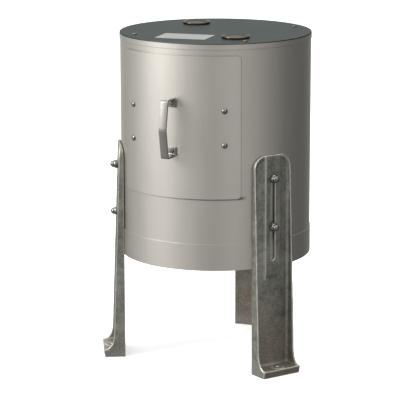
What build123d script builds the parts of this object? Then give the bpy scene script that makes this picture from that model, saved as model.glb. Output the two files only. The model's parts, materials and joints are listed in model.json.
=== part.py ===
"""Gas forge: a round stainless drum on three cast legs, with a lift-off curved door, two capped
flues in the top plate, a refractory chamber inside and an atmospheric burner at the left rear.

Frame: +Z up, origin on the floor under the drum's axis, door facing -Y. Azimuth 0 is the door's
direction (-Y) and grows towards +X. Millimetres. Each sub-part is written to parts/NODE.step.
"""

from build123d import *
from math import asin, cos, degrees, radians, sin, sqrt
import os

# ---- Drum ----
drum_radius = 205.0
drum_height = 480.0
shell_sheet = 1.5
seat_gap = 0.1  # between pieces that lie against each other
slide_gap = 0.3  # between pieces on different bodies
thread_gap = 0.05
thread_show = 1.0  # how far a thread stands out of its nut
overcut = 10.0  # how far a cutting shape runs past what it cuts
fuse = 0.5  # how far joined solids run into each other

# ---- Top ----
plate_thickness = 2.5
plate_edge_radius = 1.0
plate_inset = 0.3  # from the band's outer face to the plate's edge
band_height = 13.5
band_sheet = 1.2
band_chamfer = 0.48
mounting_ring_width = 34.0
mounting_ring_thickness = 3.0
lid_screw_inset = 23.0
lid_screw_azimuth = 45.0
lid_screw_radius = 2.5
lid_screw_head_radius = 5.0
lid_screw_head_height = 2.6
lid_screw_head_round = 1.82
label_length = 110.0
label_width = 74.0
label_thickness = 0.6
label_corner_radius = 2.0
label_centre = (-16.0, -116.0)
label_turn = 8.0

# ---- Bottom ----
pan_thickness = 2.0
pan_skirt_height = 57.0
pan_corner_radius = 1.6
pan_skirt_sheet = 1.2

# ---- Refractory ----
blanket_thickness = 25.0
liner_thickness = 30.0
liner_joint_azimuth = 140.0
hearth_thickness = 25.0
roof_board_thickness = 25.0
roof_slab_thickness = 25.0

# ---- Flues ----
flue_circle = 125.0
flue_azimuth = 45.0
flue_bore_radius = 20.0
flue_tube_wall = 2.0
flue_flange_width = 5.0
flue_flange_thickness = 1.5
cap_radius = 30.3
cap_height = 10.2
cap_rim_height = 3.5
cap_foot_radius = 28.2
cap_sheet = 1.2
cap_spigot_depth = 18.0

# ---- Door ----
door_bottom_height = 154.0  # above the drum's underside
door_top_margin = 26.0  # below the drum's top
door_half_angle = 40.0
door_sheet = 1.5
door_corner_radius = 7.0
gasket_thickness = 1.2
gasket_width = 14.0
gasket_setback = 2.0  # from the opening's edge
opening_half_width = 114.0
opening_bottom_margin = 18.0  # from the door's lower edge to the opening's
opening_top_margin = 47.0
opening_corner_radius = 8.0
frame_sheet = 1.5
throat_half_width = 88.0
throat_margin = 6.0  # from the opening's edge to the throat's, top and bottom
plug_gap = 2.0
tray_half_width = 92.0
tray_sheet = 1.0
tray_side_gap = 2.5
door_bolt_inset = 9.1  # from the opening's side
door_bolt_spacing = 72.0
door_bolt_radius = 3.0
door_bolt_head_radius = 6.6
door_bolt_head_height = 4.6
door_nut_across_flats = 10.0
door_nut_height = 4.5
clip_height = 104.0
clip_sheet = 1.0
clip_seat_angle = 2.4
clip_bend_angle = 1.6
clip_crest_gap = 0.6  # from the leaf's middle line to its clearance in the doorway
clip_crest_depth = 13.0
clip_tail_depth = 23.0
clip_tail_lift = 6.0
handle_screw_spacing = 100.0
handle_length = 124.0
handle_width = 17.0
handle_thickness = 4.0
handle_reach_at_ends = 36.0
handle_bow = 10.0
handle_bow_radius = 30.0
handle_tab = 20.0
handle_bend_radius = 5.0
handle_screw_radius = 2.5
handle_screw_head_radius = 4.6
handle_screw_head_height = 2.8
handle_screw_head_round = 1.7
handle_screw_slot = 1.1
handle_nut_across_flats = 8.0
handle_nut_height = 4.0
handle_pocket_radius = 7.0
handle_pocket_depth = 12.0

# ---- Legs ----
leg_azimuths = {"left": -60.0, "right": 60.0, "rear": 180.0}
leg_height = 472.0
leg_width = 94.0
leg_travel = 66.5
leg_corner_radius = 28.0
leg_edge_depth_top = 9.5  # from the back corner of the leg to its outer edge
leg_edge_depth_low = 25.0
leg_taper_bottom = 50.0  # height where the taper ends and the foot's flare starts
web_thickness = 3.2  # the channel's floor hugs the drum as the back does
pad_half_width = 19.0
pad_thickness = 5.2
pad_bottom = 206.0
pad_ramp = 8.0
flange_land = 3.8
channel_fillet = 5.5
foot_reach = 48.0  # from the leg's back corner
foot_thickness = 16.0
foot_draft = 3.0
foot_flare = 1.25  # fullness of the concave flare between edge and toe
foot_flare_lean = 0.04
foot_fall = 0.12  # slope of the foot's upper side at the toe
foot_boss_radius = 13.0
foot_boss_height = 1.2
foot_bolt_depth = 31.0  # from the leg's back corner to its bolt
foot_bolt_radius = 4.5
upper_stud_below_leg_top = 50.0
upper_stud_above_underside = 192.0
stud_spacing = 104.0
stud_radius = 5.0
stud_head_radius = 8.0
stud_head_thickness = 3.5
slot_top_play = 0.6
washer_radius = 10.0
washer_thickness = 1.8
leg_nut_across_flats = 17.0
leg_nut_hex_height = 7.5
leg_nut_crown = 4.5  # how much the hexagon's corners are turned down
leg_nut_dome_radius = 7.5
leg_nut_thread_depth = 11.0
stud_plate_half_width = 26.0
stud_plate_thickness = 3.0
stud_plate_margin = 22.0
stud_pocket_gap = 0.5
spacer_thickness = 1.0

# ---- Burner and gas line ----
burner_azimuth = -120.0
burner_above_hearth = 45.0
burner_port_radius = 21.0
burner_tube_radius = 16.85
burner_tube_bore = 13.6
nozzle_radius = 19.6
nozzle_recess = 5.7  # behind the chamber's wall
nozzle_length = 32.0
nozzle_flare_length = 10.0
saddle_half_size = 36.0
saddle_sheet = 2.0
collar_radius = 23.5
collar_bore = 19.5
collar_reach = 27.0  # out from the shell
saddle_rivet_inset = 8.0
saddle_rivet_radius = 2.4
saddle_rivet_head = 2.0
set_screw_radius = 3.0
set_screw_length = 15.0
set_screw_knob_radius = 6.0
set_screw_knob_length = 6.0
set_screw_inset = 8.0
mixer_gap = 6.0  # between the collar and the mixer
mixer_socket_depth = 12.0
mixer_socket_radius = 21.0
mixer_mouth_radius = 27.0
mixer_mouth_length = 14.0
mixer_length = 62.0
mixer_wall = 4.0
air_window_radius = 6.0
air_window_circle = 16.5
air_window_count = 4
shutter_thickness = 1.6
shutter_inset = 1.0  # from the mixer's rim
shutter_tab_length = 11.0
shutter_tab_width = 9.0
jet_holder_radius = 5.0
jet_holder_reach = 34.0  # into the mixer from its end face
jet_holder_bore = 2.0
jet_radius = 3.6
jet_length = 14.0
jet_tip_length = 5.0
jet_tip_radius = 1.6
jet_bore = 0.6
jet_nut_across_flats = 14.0
jet_nut_height = 7.0
elbow_radius = 8.0
elbow_reach = 16.0
gas_pipe_radius = 5.0
gas_pipe_bore = 3.5
riser_length = 26.0
valve_body_radius = 11.0
valve_body_length = 46.0
valve_hex_length = 12.0
valve_ball_radius = 8.0
valve_bore = 4.5
valve_stem_radius = 3.5
bonnet_radius = 7.0
bonnet_length = 8.0
lever_length = 62.0
lever_width = 12.0
lever_thickness = 2.5
lever_hub_radius = 8.0
lever_nut_across_flats = 10.0
lever_nut_height = 4.0
inlet_hex_across_flats = 17.0
inlet_hex_height = 8.0
inlet_thread_radius = 6.6
inlet_thread_length = 14.0

# ---- Heights and radii that follow ----
upper_stud_height = leg_height - upper_stud_below_leg_top
stud_heights = (upper_stud_height, upper_stud_height - stud_spacing)
drum_bottom = upper_stud_height - upper_stud_above_underside
drum_top = drum_bottom + drum_height
plate_underside = drum_top - plate_thickness
shell_inside = drum_radius - shell_sheet
shell_bottom = drum_bottom + pan_thickness + seat_gap
shell_top = plate_underside - seat_gap
band_radius = drum_radius + seat_gap + band_sheet
skirt_radius = drum_radius + seat_gap + pan_skirt_sheet
lid_screw_circle = drum_radius - lid_screw_inset
pan_floor = drum_bottom + pan_thickness
mounting_ring_bottom = shell_top - mounting_ring_thickness
roof_board_bottom = mounting_ring_bottom - seat_gap - roof_board_thickness
chamber_top = roof_board_bottom - seat_gap - roof_slab_thickness
lining_radius = shell_inside - seat_gap
blanket_inside = lining_radius - blanket_thickness
liner_outside = blanket_inside - seat_gap
chamber_radius = liner_outside - liner_thickness

door_bottom = drum_bottom + door_bottom_height
door_height = drum_height - door_bottom_height - door_top_margin
door_middle = door_bottom + door_height / 2
gasket_inside = drum_radius + slide_gap
door_inside = gasket_inside + gasket_thickness + seat_gap
door_outside = door_inside + door_sheet
door_bolt_angle = degrees(asin((opening_half_width - door_bolt_inset) / door_inside))
opening_bottom = door_bottom + opening_bottom_margin
opening_height = door_height - opening_bottom_margin - opening_top_margin
opening_middle = opening_bottom + opening_height / 2
throat_height = opening_height - 2 * throat_margin
throat_top = opening_middle + throat_height / 2
frame_back = blanket_inside + seat_gap + frame_sheet
tray_face = door_inside - seat_gap
hearth_top = opening_bottom + throat_margin
hearth_bottom = hearth_top - hearth_thickness
floor_stack = (pan_floor + seat_gap, hearth_bottom - seat_gap)
floor_board_joint = sum(floor_stack) / 2

leg_back = skirt_radius + slide_gap + seat_gap
leg_half_width = leg_width / 2
leg_back_corner = sqrt(leg_back**2 - leg_half_width**2)
pad_face = leg_back + pad_thickness
slot_width = 2 * (stud_radius + slide_gap)
slot_top = upper_stud_height + slot_width / 2 + slot_top_play
slot_bottom = stud_heights[1] - leg_travel - slot_width / 2
washer_seat = pad_face + slide_gap
nut_seat = washer_seat + washer_thickness + seat_gap
foot_bolt_circle = leg_back_corner + foot_bolt_depth
stud_plate_back = shell_inside - seat_gap - stud_plate_thickness
stud_head_seat = stud_plate_back - slide_gap
stud_pocket_back = stud_head_seat - stud_head_thickness - 2 * stud_pocket_gap

burner_height = hearth_top + burner_above_hearth
nozzle_start = chamber_radius + nozzle_recess
nozzle_end = nozzle_start + nozzle_length
burner_tube_start = nozzle_start + nozzle_flare_length
collar_end = drum_radius + collar_reach
set_screw_station = collar_end - set_screw_inset
mixer_start = collar_end + mixer_gap
burner_tube_end = mixer_start + mixer_socket_depth
mixer_end = mixer_start + mixer_length
shutter_seat = mixer_end + slide_gap
jet_nut_seat = shutter_seat + shutter_thickness + slide_gap
jet_nut_top = jet_nut_seat + jet_nut_height
jet_holder_start = mixer_end - jet_holder_reach
elbow_station = jet_nut_top + elbow_reach
riser_top = burner_height - elbow_reach
valve_top = riser_top - riser_length
valve_middle = valve_top - valve_body_length / 2
valve_bottom = valve_top - valve_body_length
lever_seat = valve_body_radius + bonnet_length + slide_gap


# ---- Helpers ----
def rod(radius, start, end):
    """A cylinder along the local axis from start to end."""
    return Pos(0, 0, (start + end) / 2) * Cylinder(radius, end - start)


def ring(outer, inner, bottom, top):
    """An upright ring about the drum's axis."""
    return rod(outer, bottom, top) - rod(inner, bottom, top)


def hexagon(across_flats, start, end):
    """A hexagonal prism along the local axis."""
    flat = RegularPolygon(across_flats / 2, 6, major_radius=False)
    return Pos(0, 0, start) * extrude(flat, end - start)


def radial(shape, height, azimuth=0.0):
    """Turns a shape's local axis into the outward direction at a height and an azimuth."""
    return Rot(0, 0, azimuth) * Pos(0, 0, height) * Rot(90, 0, 0) * shape


def front_block(half_width, middle, height, corner=0.0):
    """A block from the drum's axis out through its front wall, with rounded edges along -Y."""
    size = (2 * half_width, height)
    outline = RectangleRounded(*size, corner) if corner else Rectangle(*size)
    return radial(extrude(outline, door_outside + overcut), middle)


def polar(distance, azimuth):
    """X and Y of a point at a distance from the axis."""
    return distance * sin(radians(azimuth)), -distance * cos(radians(azimuth))


def upright(shape, distance, azimuth, height=0.0):
    """Moves an upright shape to a distance and azimuth about the drum's axis."""
    x, y = polar(distance, azimuth)
    return Pos(x, y, height) * shape


def at_studs(make):
    """One copy of a local shape at each of the six leg studs."""
    return [radial(make(), z, azimuth) for azimuth in leg_azimuths.values() for z in stud_heights]


def burner_hole(radius):
    """The burner's passage through the drum's wall."""
    inside = sqrt(chamber_radius**2 - radius**2) - overcut
    return radial(rod(radius, inside, drum_radius + overcut), burner_height, burner_azimuth)


def flue_holes(radius):
    """Both flues' passages through the roof."""
    hole = rod(radius, chamber_top - overcut, drum_top + overcut)
    return [upright(hole, flue_circle, azimuth) for azimuth in (flue_azimuth, flue_azimuth + 180)]


def lid_screw_copies(shape):
    """Four copies of an upright shape at the top plate's screws."""
    half_turn = (lid_screw_azimuth, -lid_screw_azimuth)
    places = half_turn + tuple(180 + azimuth for azimuth in half_turn)
    return [upright(shape, lid_screw_circle, azimuth) for azimuth in places]


# ---- Drum ----
def make_shell():
    shell = ring(drum_radius, shell_inside, shell_bottom, shell_top)
    shell -= front_block(opening_half_width, opening_middle, opening_height, opening_corner_radius)
    shell -= at_studs(lambda: rod(stud_radius + seat_gap, shell_inside - overcut, drum_radius + overcut))
    port = rod(nozzle_radius + slide_gap, shell_inside - overcut, drum_radius + overcut)
    return shell - radial(port, burner_height, burner_azimuth)


def make_bottom_pan():
    pan = rod(skirt_radius, drum_bottom, pan_floor)
    pan += ring(skirt_radius, skirt_radius - pan_skirt_sheet, drum_bottom, drum_bottom + pan_skirt_height)
    rim = pan.edges().filter_by(GeomType.CIRCLE).group_by(Axis.Z)[0]
    return fillet(rim, pan_corner_radius)


def make_top_band():
    band = ring(band_radius, drum_radius + seat_gap, drum_top - band_height, plate_underside - seat_gap)
    lower = band.edges().filter_by(GeomType.CIRCLE).group_by(Axis.Z)[0].sort_by(SortBy.RADIUS)[-1]
    return chamfer(lower, band_chamfer)


def make_top_plate():
    plate = rod(band_radius - plate_inset, plate_underside, drum_top)
    rim = plate.edges().filter_by(GeomType.CIRCLE).group_by(Axis.Z)[-1]
    plate = fillet(rim, plate_edge_radius)
    plate -= flue_holes(flue_bore_radius + flue_tube_wall + seat_gap)
    hole = rod(lid_screw_radius + seat_gap, plate_underside - overcut, drum_top + overcut)
    return plate - lid_screw_copies(hole)


def make_mounting_ring():
    flat = ring(lining_radius, lining_radius - mounting_ring_width, mounting_ring_bottom, shell_top)
    return flat - lid_screw_copies(rod(lid_screw_radius + seat_gap, mounting_ring_bottom - overcut, drum_top))


def make_lid_screws():
    seat = drum_top + seat_gap
    head = rod(lid_screw_head_radius, seat, seat + lid_screw_head_height)
    head = fillet(head.edges().group_by(Axis.Z)[-1], lid_screw_head_round)
    return lid_screw_copies(head + rod(lid_screw_radius, mounting_ring_bottom + seat_gap, seat))


def make_label():
    sheet = extrude(RectangleRounded(label_length, label_width, label_corner_radius), label_thickness)
    return Pos(*label_centre, drum_top + thread_gap) * Rot(0, 0, label_turn) * sheet


# ---- Refractory ----
def stud_pockets():
    """Room in the lining for the plates and heads of the leg studs."""
    pocket = ring(lining_radius + overcut, stud_pocket_back, *stud_plate_span(stud_pocket_gap))
    side = stud_plate_half_width + stud_pocket_gap
    pocket &= Pos(0, -drum_radius, 0) * Box(2 * side, drum_radius, 4 * drum_height)
    return [Rot(0, 0, azimuth) * pocket for azimuth in leg_azimuths.values()]


def make_blanket():
    blanket = ring(lining_radius, blanket_inside, hearth_bottom, chamber_top - seat_gap)
    grow = frame_sheet + seat_gap
    doorway = front_block(
        opening_half_width + grow,
        opening_middle,
        opening_height + 2 * grow,
        opening_corner_radius,
    )
    return blanket - doorway - stud_pockets() - burner_hole(burner_port_radius)


def liner_ring():
    return ring(liner_outside, chamber_radius, hearth_top + seat_gap, chamber_top - seat_gap)


def make_liner_segment(start, end):
    """A part of the liner between two azimuths, cut square beside the doorway."""
    height = chamber_top - hearth_top - 2 * seat_gap
    section = Pos((chamber_radius + liner_outside) / 2, hearth_top + seat_gap + height / 2)
    section *= Rectangle(liner_thickness, height)
    joint = degrees(seat_gap / liner_outside)
    turned = revolve(Plane.XZ * section, Axis.Z, end - start - joint)
    segment = Rot(0, 0, start - 90) * turned
    segment -= front_block(throat_half_width, opening_middle, 2 * drum_height)
    return segment - burner_hole(burner_port_radius)


def make_door_lintel():
    height = chamber_top - seat_gap - throat_top
    lintel = front_block(throat_half_width - seat_gap, throat_top + height / 2, height)
    return lintel & liner_ring()


def make_floor_board(bottom, top):
    return rod(lining_radius, bottom, top) - stud_pockets()


def make_hearth():
    return rod(liner_outside, hearth_bottom, hearth_top)


def make_roof_board():
    board = rod(lining_radius, roof_board_bottom, mounting_ring_bottom - seat_gap)
    return board - flue_holes(flue_bore_radius + flue_tube_wall + seat_gap)


def make_roof_slab():
    slab = rod(lining_radius, chamber_top, roof_board_bottom - seat_gap)
    return slab - flue_holes(flue_bore_radius + flue_tube_wall + seat_gap)


# ---- Flues ----
def make_flue_collar(azimuth):
    outer = flue_bore_radius + flue_tube_wall
    collar = rod(outer, chamber_top, drum_top + seat_gap + flue_flange_thickness)
    collar += rod(outer + flue_flange_width, drum_top + seat_gap, drum_top + seat_gap + flue_flange_thickness)
    collar -= rod(flue_bore_radius, chamber_top - overcut, drum_top + overcut)
    return upright(collar, flue_circle, azimuth)


def make_flue_cap(azimuth):
    """A pressed cap: a shallow dome over a skirt that draws in to the plate, on a spigot in the flue."""
    low = drum_top + slide_gap
    rim = drum_top + cap_rim_height
    high = drum_top + cap_height
    rise = high - rim
    dome_radius = (cap_radius**2 + rise**2) / (2 * rise)
    outside = make_face(
        Polyline((0, high), (0, low), (cap_foot_radius, low), (cap_radius, rim))
        + RadiusArc((cap_radius, rim), (0, high), -dome_radius)
    )
    cap = revolve(Plane.XZ * outside, Axis.Z)
    hollow_top = drum_top + seat_gap + flue_flange_thickness + slide_gap
    cap -= rod(cap_foot_radius - cap_sheet, low - overcut, hollow_top)
    spigot = flue_bore_radius - slide_gap
    cap += rod(spigot, hollow_top - cap_spigot_depth, hollow_top) - rod(
        spigot - cap_sheet, hollow_top - cap_spigot_depth, hollow_top
    )
    return upright(cap, flue_circle, azimuth)


# ---- Door ----
def make_door_frame():
    """The sheet casing of the doorway: side walls through the blanket and a flange on the liner."""
    opening = front_block(opening_half_width, opening_middle, opening_height, opening_corner_radius)
    outside = front_block(
        opening_half_width + frame_sheet,
        opening_middle,
        opening_height + 2 * frame_sheet,
        opening_corner_radius,
    )
    throat = front_block(throat_half_width, opening_middle, throat_height, opening_corner_radius)
    low, high = opening_bottom - overcut, opening_bottom + opening_height + overcut
    walls = ring(lining_radius, frame_back - fuse, low, high) & (outside - opening)
    flange = ring(frame_back, blanket_inside + seat_gap, low, high) & (outside - throat)
    return walls + flange


def make_door_panel():
    panel = ring(door_outside, door_inside, door_bottom, door_bottom + door_height)
    half_width = door_outside * sin(radians(door_half_angle))
    panel &= front_block(half_width, door_middle, door_height, door_corner_radius)
    low, high = door_inside - overcut, door_outside + overcut
    panel -= door_bolt_copies(lambda: rod(door_bolt_radius + seat_gap, low, high))
    return panel - handle_screw_copies(lambda: rod(handle_screw_radius + seat_gap, low, high))


def door_bolt_copies(make):
    """One copy of a local shape at each of the four door bolts."""
    return [
        radial(make(), door_middle + side_z * door_bolt_spacing / 2, side * door_bolt_angle)
        for side in (-1, 1)
        for side_z in (-1, 1)
    ]


def handle_screw_copies(make):
    """One copy of a local shape at each of the two handle screws."""
    return [radial(make(), door_middle + side * handle_screw_spacing / 2) for side in (-1, 1)]


def make_gasket():
    strip = ring(door_inside - seat_gap, gasket_inside, door_bottom, door_bottom + door_height)
    outer_half = opening_half_width + gasket_width
    middle, height = opening_middle, opening_height
    outer_corner = opening_corner_radius + 2 * gasket_setback
    strip &= front_block(outer_half, middle, height + 2 * gasket_width, outer_corner)
    inner_half = opening_half_width + gasket_setback
    return strip - front_block(inner_half, middle, height + 2 * gasket_setback, opening_corner_radius)


def make_door_tray():
    """The sheet tray behind the panel that carries the door's block."""
    height = opening_height - 2 * tray_side_gap
    outer = front_block(tray_half_width, opening_middle, height, opening_corner_radius)
    inner = front_block(
        tray_half_width - tray_sheet,
        opening_middle,
        height - 2 * tray_sheet,
        opening_corner_radius - tray_sheet,
    )
    low, high = opening_bottom - overcut, opening_bottom + opening_height + overcut
    tray = ring(tray_face, frame_back + plug_gap, low, high) & outer
    tray -= ring(tray_face - tray_sheet, frame_back - overcut, low, high) & inner
    pocket_floor = tray_face - handle_pocket_depth
    return tray - handle_screw_copies(lambda: rod(handle_pocket_radius, pocket_floor, door_outside))


def make_door_block():
    """The insulating block that fills the doorway, stepped to pass the throat."""
    low, high = opening_bottom - overcut, opening_bottom + opening_height + overcut
    side = tray_half_width - tray_sheet - seat_gap
    height = opening_height - 2 * (tray_side_gap + tray_sheet + seat_gap)
    wide = ring(tray_face - tray_sheet - seat_gap, frame_back + plug_gap, low, high)
    wide &= front_block(side, opening_middle, height, opening_corner_radius - tray_sheet)
    narrow = ring(frame_back + plug_gap + fuse, chamber_radius + fuse, low, high)
    narrow &= front_block(
        throat_half_width - plug_gap,
        opening_middle,
        throat_height - 2 * plug_gap,
        opening_corner_radius - plug_gap,
    )
    pocket_floor = tray_face - handle_pocket_depth
    pocket = handle_screw_copies(lambda: rod(handle_pocket_radius, pocket_floor, door_outside))
    return (wide + narrow) - pocket


def make_door_clip(side):
    """A spring leaf bolted behind the panel; it presses on the edge of the opening."""
    mid_radius = door_inside - seat_gap - clip_sheet / 2
    start, bend = door_bolt_angle - clip_seat_angle, door_bolt_angle + clip_bend_angle
    base_x, base_y = polar(mid_radius, bend)
    crest_x = opening_half_width - slide_gap - clip_crest_gap
    path = ThreePointArc(
        polar(mid_radius, start), polar(mid_radius, (start + bend) / 2), (base_x, base_y)
    ) + Polyline(
        (base_x, base_y),
        (crest_x, base_y + clip_crest_depth),
        (crest_x - clip_tail_lift, base_y + clip_tail_depth),
    )
    leaf = extrude(trace(path, clip_sheet), clip_height)
    leaf = Pos(0, 0, door_middle - clip_height / 2) * leaf
    hole = rod(door_bolt_radius + seat_gap, door_inside - overcut / 2, door_inside + overcut / 2)
    heights = [door_middle + step * door_bolt_spacing / 2 for step in (-1, 1)]
    leaf -= [radial(hole, z, door_bolt_angle) for z in heights]
    return leaf if side > 0 else mirror(leaf, Plane.YZ)


def make_door_bolts():
    """Domed bolts through the panel and the clips."""
    head_seat = door_outside + seat_gap

    def bolt():
        dome_radius = (door_bolt_head_radius**2 + door_bolt_head_height**2) / (2 * door_bolt_head_height)
        dome = Pos(0, 0, head_seat + door_bolt_head_height - dome_radius) * Sphere(dome_radius)
        dome &= rod(door_bolt_head_radius + overcut, head_seat, head_seat + overcut)
        shank_end = door_inside - clip_sheet - 2 * seat_gap - door_nut_height - thread_show
        return dome + rod(door_bolt_radius, shank_end, head_seat + fuse)

    return door_bolt_copies(bolt)


def make_door_bolt_nuts():
    seat = door_inside - clip_sheet - 3 * seat_gap

    def nut():
        bored = hexagon(door_nut_across_flats, seat - door_nut_height, seat)
        return bored - rod(door_bolt_radius + thread_gap, seat - door_nut_height - overcut, seat + overcut)

    return door_bolt_copies(nut)


def make_handle():
    """A bent strap: two tabs on the panel, two returns and a front that bows out in the middle."""
    half = handle_length / 2 - handle_thickness / 2
    tab_end = handle_length / 2 - handle_tab
    base = door_outside + seat_gap + handle_thickness / 2
    reach = base + handle_reach_at_ends - handle_thickness / 2
    apex = reach + handle_bow
    upper = [(base, tab_end), (base, half), (reach, half)]
    lower = [(across, -up) for across, up in reversed(upper)]
    ends = [handle_bend_radius] * 2
    path = FilletPolyline(*upper, (apex, 0), *lower, radius=[*ends, handle_bow_radius, *ends])
    strap = extrude(trace(path, handle_thickness), handle_width / 2, both=True)
    strap = Pos(0, 0, door_middle) * Rot(0, 0, -90) * Rot(90, 0, 0) * strap
    holes = handle_screw_copies(lambda: rod(handle_screw_radius + seat_gap, door_inside, base + overcut))
    return strap - holes


def make_handle_screws():
    seat = door_outside + 2 * seat_gap + handle_thickness

    def screw():
        head = rod(handle_screw_head_radius, seat, seat + handle_screw_head_height)
        head = fillet(head.edges().group_by(Axis.Z)[-1], handle_screw_head_round)
        slot = Pos(0, 0, seat + handle_screw_head_height)
        slot *= Box(handle_screw_slot, 4 * handle_screw_head_radius, 2 * handle_screw_slot)
        shank_end = door_inside - seat_gap - handle_nut_height - 2 * thread_show
        return (head - slot) + rod(handle_screw_radius, shank_end, seat + fuse)

    return handle_screw_copies(screw)


def make_handle_nuts():
    seat = door_inside - seat_gap

    def nut():
        bored = hexagon(handle_nut_across_flats, seat - handle_nut_height, seat)
        low, high = seat - handle_nut_height - overcut, seat + overcut
        return bored - rod(handle_screw_radius + thread_gap, low, high)

    return handle_screw_copies(nut)


# ---- Legs ----
def leg_outline():
    """The leg's side: straight back, tapered edge, concave flare and drafted foot, outwards by height."""
    inner = leg_back_corner - overcut
    edge_low = leg_back_corner + leg_edge_depth_low
    edge_top = leg_back_corner + leg_edge_depth_top
    toe = leg_back_corner + foot_reach
    flare = Spline(
        (edge_low, leg_taper_bottom),
        (toe, foot_thickness),
        tangents=((foot_flare_lean, -1), (1, -foot_fall)),
        tangent_scalars=(foot_flare, foot_flare),
    )
    return make_face(
        Polyline((toe, foot_thickness), (toe - foot_draft, 0), (inner, 0), (inner, leg_height))
        + Line((inner, leg_height), (edge_top, leg_height))
        + Line((edge_top, leg_height), (edge_low, leg_taper_bottom))
        + flare
    )


def leg_front_outline(inset=0.0):
    """The leg as seen from outside: a tall plate with two rounded top corners."""
    corner = leg_corner_radius - inset
    height = leg_height - inset + corner
    plate = RectangleRounded(leg_width - 2 * inset, height, corner)
    return extrude(Pos(0, (leg_height - inset - corner) / 2) * plate, leg_back + foot_reach + overcut)


def leg_channel():
    """The space between the flanges, down to a web that hugs the drum, rounded along its floor and foot."""
    channel = radial(leg_front_outline(flange_land), 0)
    channel -= rod(leg_back + web_thickness, -leg_height, leg_height + overcut)
    channel &= Pos(0, -leg_back, foot_thickness + leg_height / 2) * Box(leg_width, 2 * leg_back, leg_height)
    floor = channel.faces().sort_by(Axis.Z)[0]
    web = channel.faces().sort_by(Axis.Y)[-1]
    far = channel.faces().sort_by(Axis.Y)[0]
    rounded = [edge for edge in floor.edges() + web.edges() if edge not in far.edges()]
    return fillet(ShapeList(set(rounded)), channel_fillet)


def leg_pad():
    """The flat pad under the nuts, ramped down to the web at its lower end."""
    web_front = leg_back + web_thickness - fuse
    side = Polyline(
        (leg_back_corner, pad_bottom),
        (web_front, pad_bottom),
        (pad_face, pad_bottom + pad_ramp),
        (pad_face, leg_height),
        (leg_back_corner, leg_height),
        close=True,
    )
    return Rot(0, 0, -90) * Rot(90, 0, 0) * extrude(make_face(side), pad_half_width, both=True)


def make_leg(azimuth):
    """A cast channel that hugs the drum, open outwards, with a slotted pad and a bolt-down foot."""
    side = extrude(leg_outline(), leg_half_width, both=True)
    leg = Rot(0, 0, -90) * Rot(90, 0, 0) * side
    leg &= radial(leg_front_outline(), 0)
    leg -= leg_channel()
    leg += leg_pad() & radial(leg_front_outline(), 0)
    leg += upright(rod(foot_boss_radius, 0, foot_thickness + foot_boss_height), foot_bolt_circle, 0)
    leg -= rod(leg_back, -overcut, leg_height + overcut)
    slot = Rot(0, 0, 90) * SlotOverall(slot_top - slot_bottom, slot_width)
    leg -= radial(extrude(slot, leg_back + foot_reach), (slot_top + slot_bottom) / 2)
    leg -= upright(rod(foot_bolt_radius, -overcut, foot_thickness + 2 * overcut), foot_bolt_circle, 0)
    return Rot(0, 0, azimuth) * leg


def stud_plate_span(margin=0.0):
    """Lowest and highest point of the plates behind the studs."""
    return stud_heights[1] - stud_plate_margin - margin, stud_heights[0] + stud_plate_margin + margin


def make_stud_plates():
    plate = ring(shell_inside - seat_gap, stud_plate_back, *stud_plate_span())
    plate &= Pos(0, -drum_radius, 0) * Box(2 * stud_plate_half_width, drum_radius, 4 * drum_height)
    plates = [Rot(0, 0, azimuth) * plate for azimuth in leg_azimuths.values()]
    holes = at_studs(lambda: rod(stud_radius + seat_gap, stud_plate_back - overcut, shell_inside + overcut))
    return [each - holes for each in plates]


def make_studs():
    """Studs with round heads behind the plates and threaded ends in the domed nuts."""
    tip = nut_seat + leg_nut_thread_depth - seat_gap

    def stud():
        head = rod(stud_head_radius, stud_head_seat - stud_head_thickness, stud_head_seat)
        return head + rod(stud_radius, stud_head_seat, tip)

    return at_studs(stud)


def make_spacers():
    start = drum_radius + seat_gap
    end = start + spacer_thickness
    hole_radius = stud_radius + seat_gap
    hole_ends = start - overcut, end + overcut
    return at_studs(lambda: rod(washer_radius, start, end) - rod(hole_radius, *hole_ends))


def make_washers():
    end = washer_seat + washer_thickness
    hole_radius = stud_radius + slide_gap
    hole_ends = washer_seat - overcut, end + overcut
    return at_studs(lambda: rod(washer_radius, washer_seat, end) - rod(hole_radius, *hole_ends))


def make_acorn_nuts():
    """Domed nuts with their blind thread towards the drum."""
    hex_top = nut_seat + leg_nut_hex_height
    half_flats = leg_nut_across_flats / 2

    def nut():
        crown = Cone(half_flats + leg_nut_crown, half_flats - leg_nut_crown / 2, leg_nut_hex_height + 2)
        body = hexagon(leg_nut_across_flats, nut_seat, hex_top)
        body &= Pos(0, 0, nut_seat + leg_nut_hex_height / 2) * crown
        dome = Pos(0, 0, hex_top) * Sphere(leg_nut_dome_radius)
        body += dome & rod(leg_nut_across_flats, nut_seat + fuse, hex_top + leg_nut_across_flats)
        return body - rod(stud_radius + thread_gap, nut_seat - overcut, nut_seat + leg_nut_thread_depth)

    return at_studs(nut)


# ---- Burner and gas line, built along the local axis and turned to the burner's azimuth ----
def at_burner(shape):
    """Places a shape built along the burner's own axis; its local +Y is up and -X towards the rear."""
    return radial(shape, burner_height, burner_azimuth)


def make_saddle():
    """A curved plate riveted to the shell, with the collar that holds the burner tube."""
    inside = drum_radius + seat_gap
    size = 2 * saddle_half_size
    plate = ring(inside + saddle_sheet, inside, 0, size)
    plate &= Pos(0, -drum_radius, 0) * Box(size, drum_radius, 2 * size)
    plate = Rot(0, 0, burner_azimuth) * Pos(0, 0, burner_height - saddle_half_size) * plate
    collar = at_burner(rod(collar_radius, drum_radius - overcut, collar_end))
    collar -= rod(inside, burner_height - size, burner_height + size)
    saddle = plate + collar - at_burner(rod(collar_bore, shell_inside - overcut, collar_end + overcut))
    saddle -= set_screw_copies(rod(set_screw_radius + seat_gap, collar_bore - fuse, collar_radius + fuse))
    return saddle - saddle_rivet_copies(rod(saddle_rivet_radius + thread_gap, shell_inside, inside + overcut))


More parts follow.
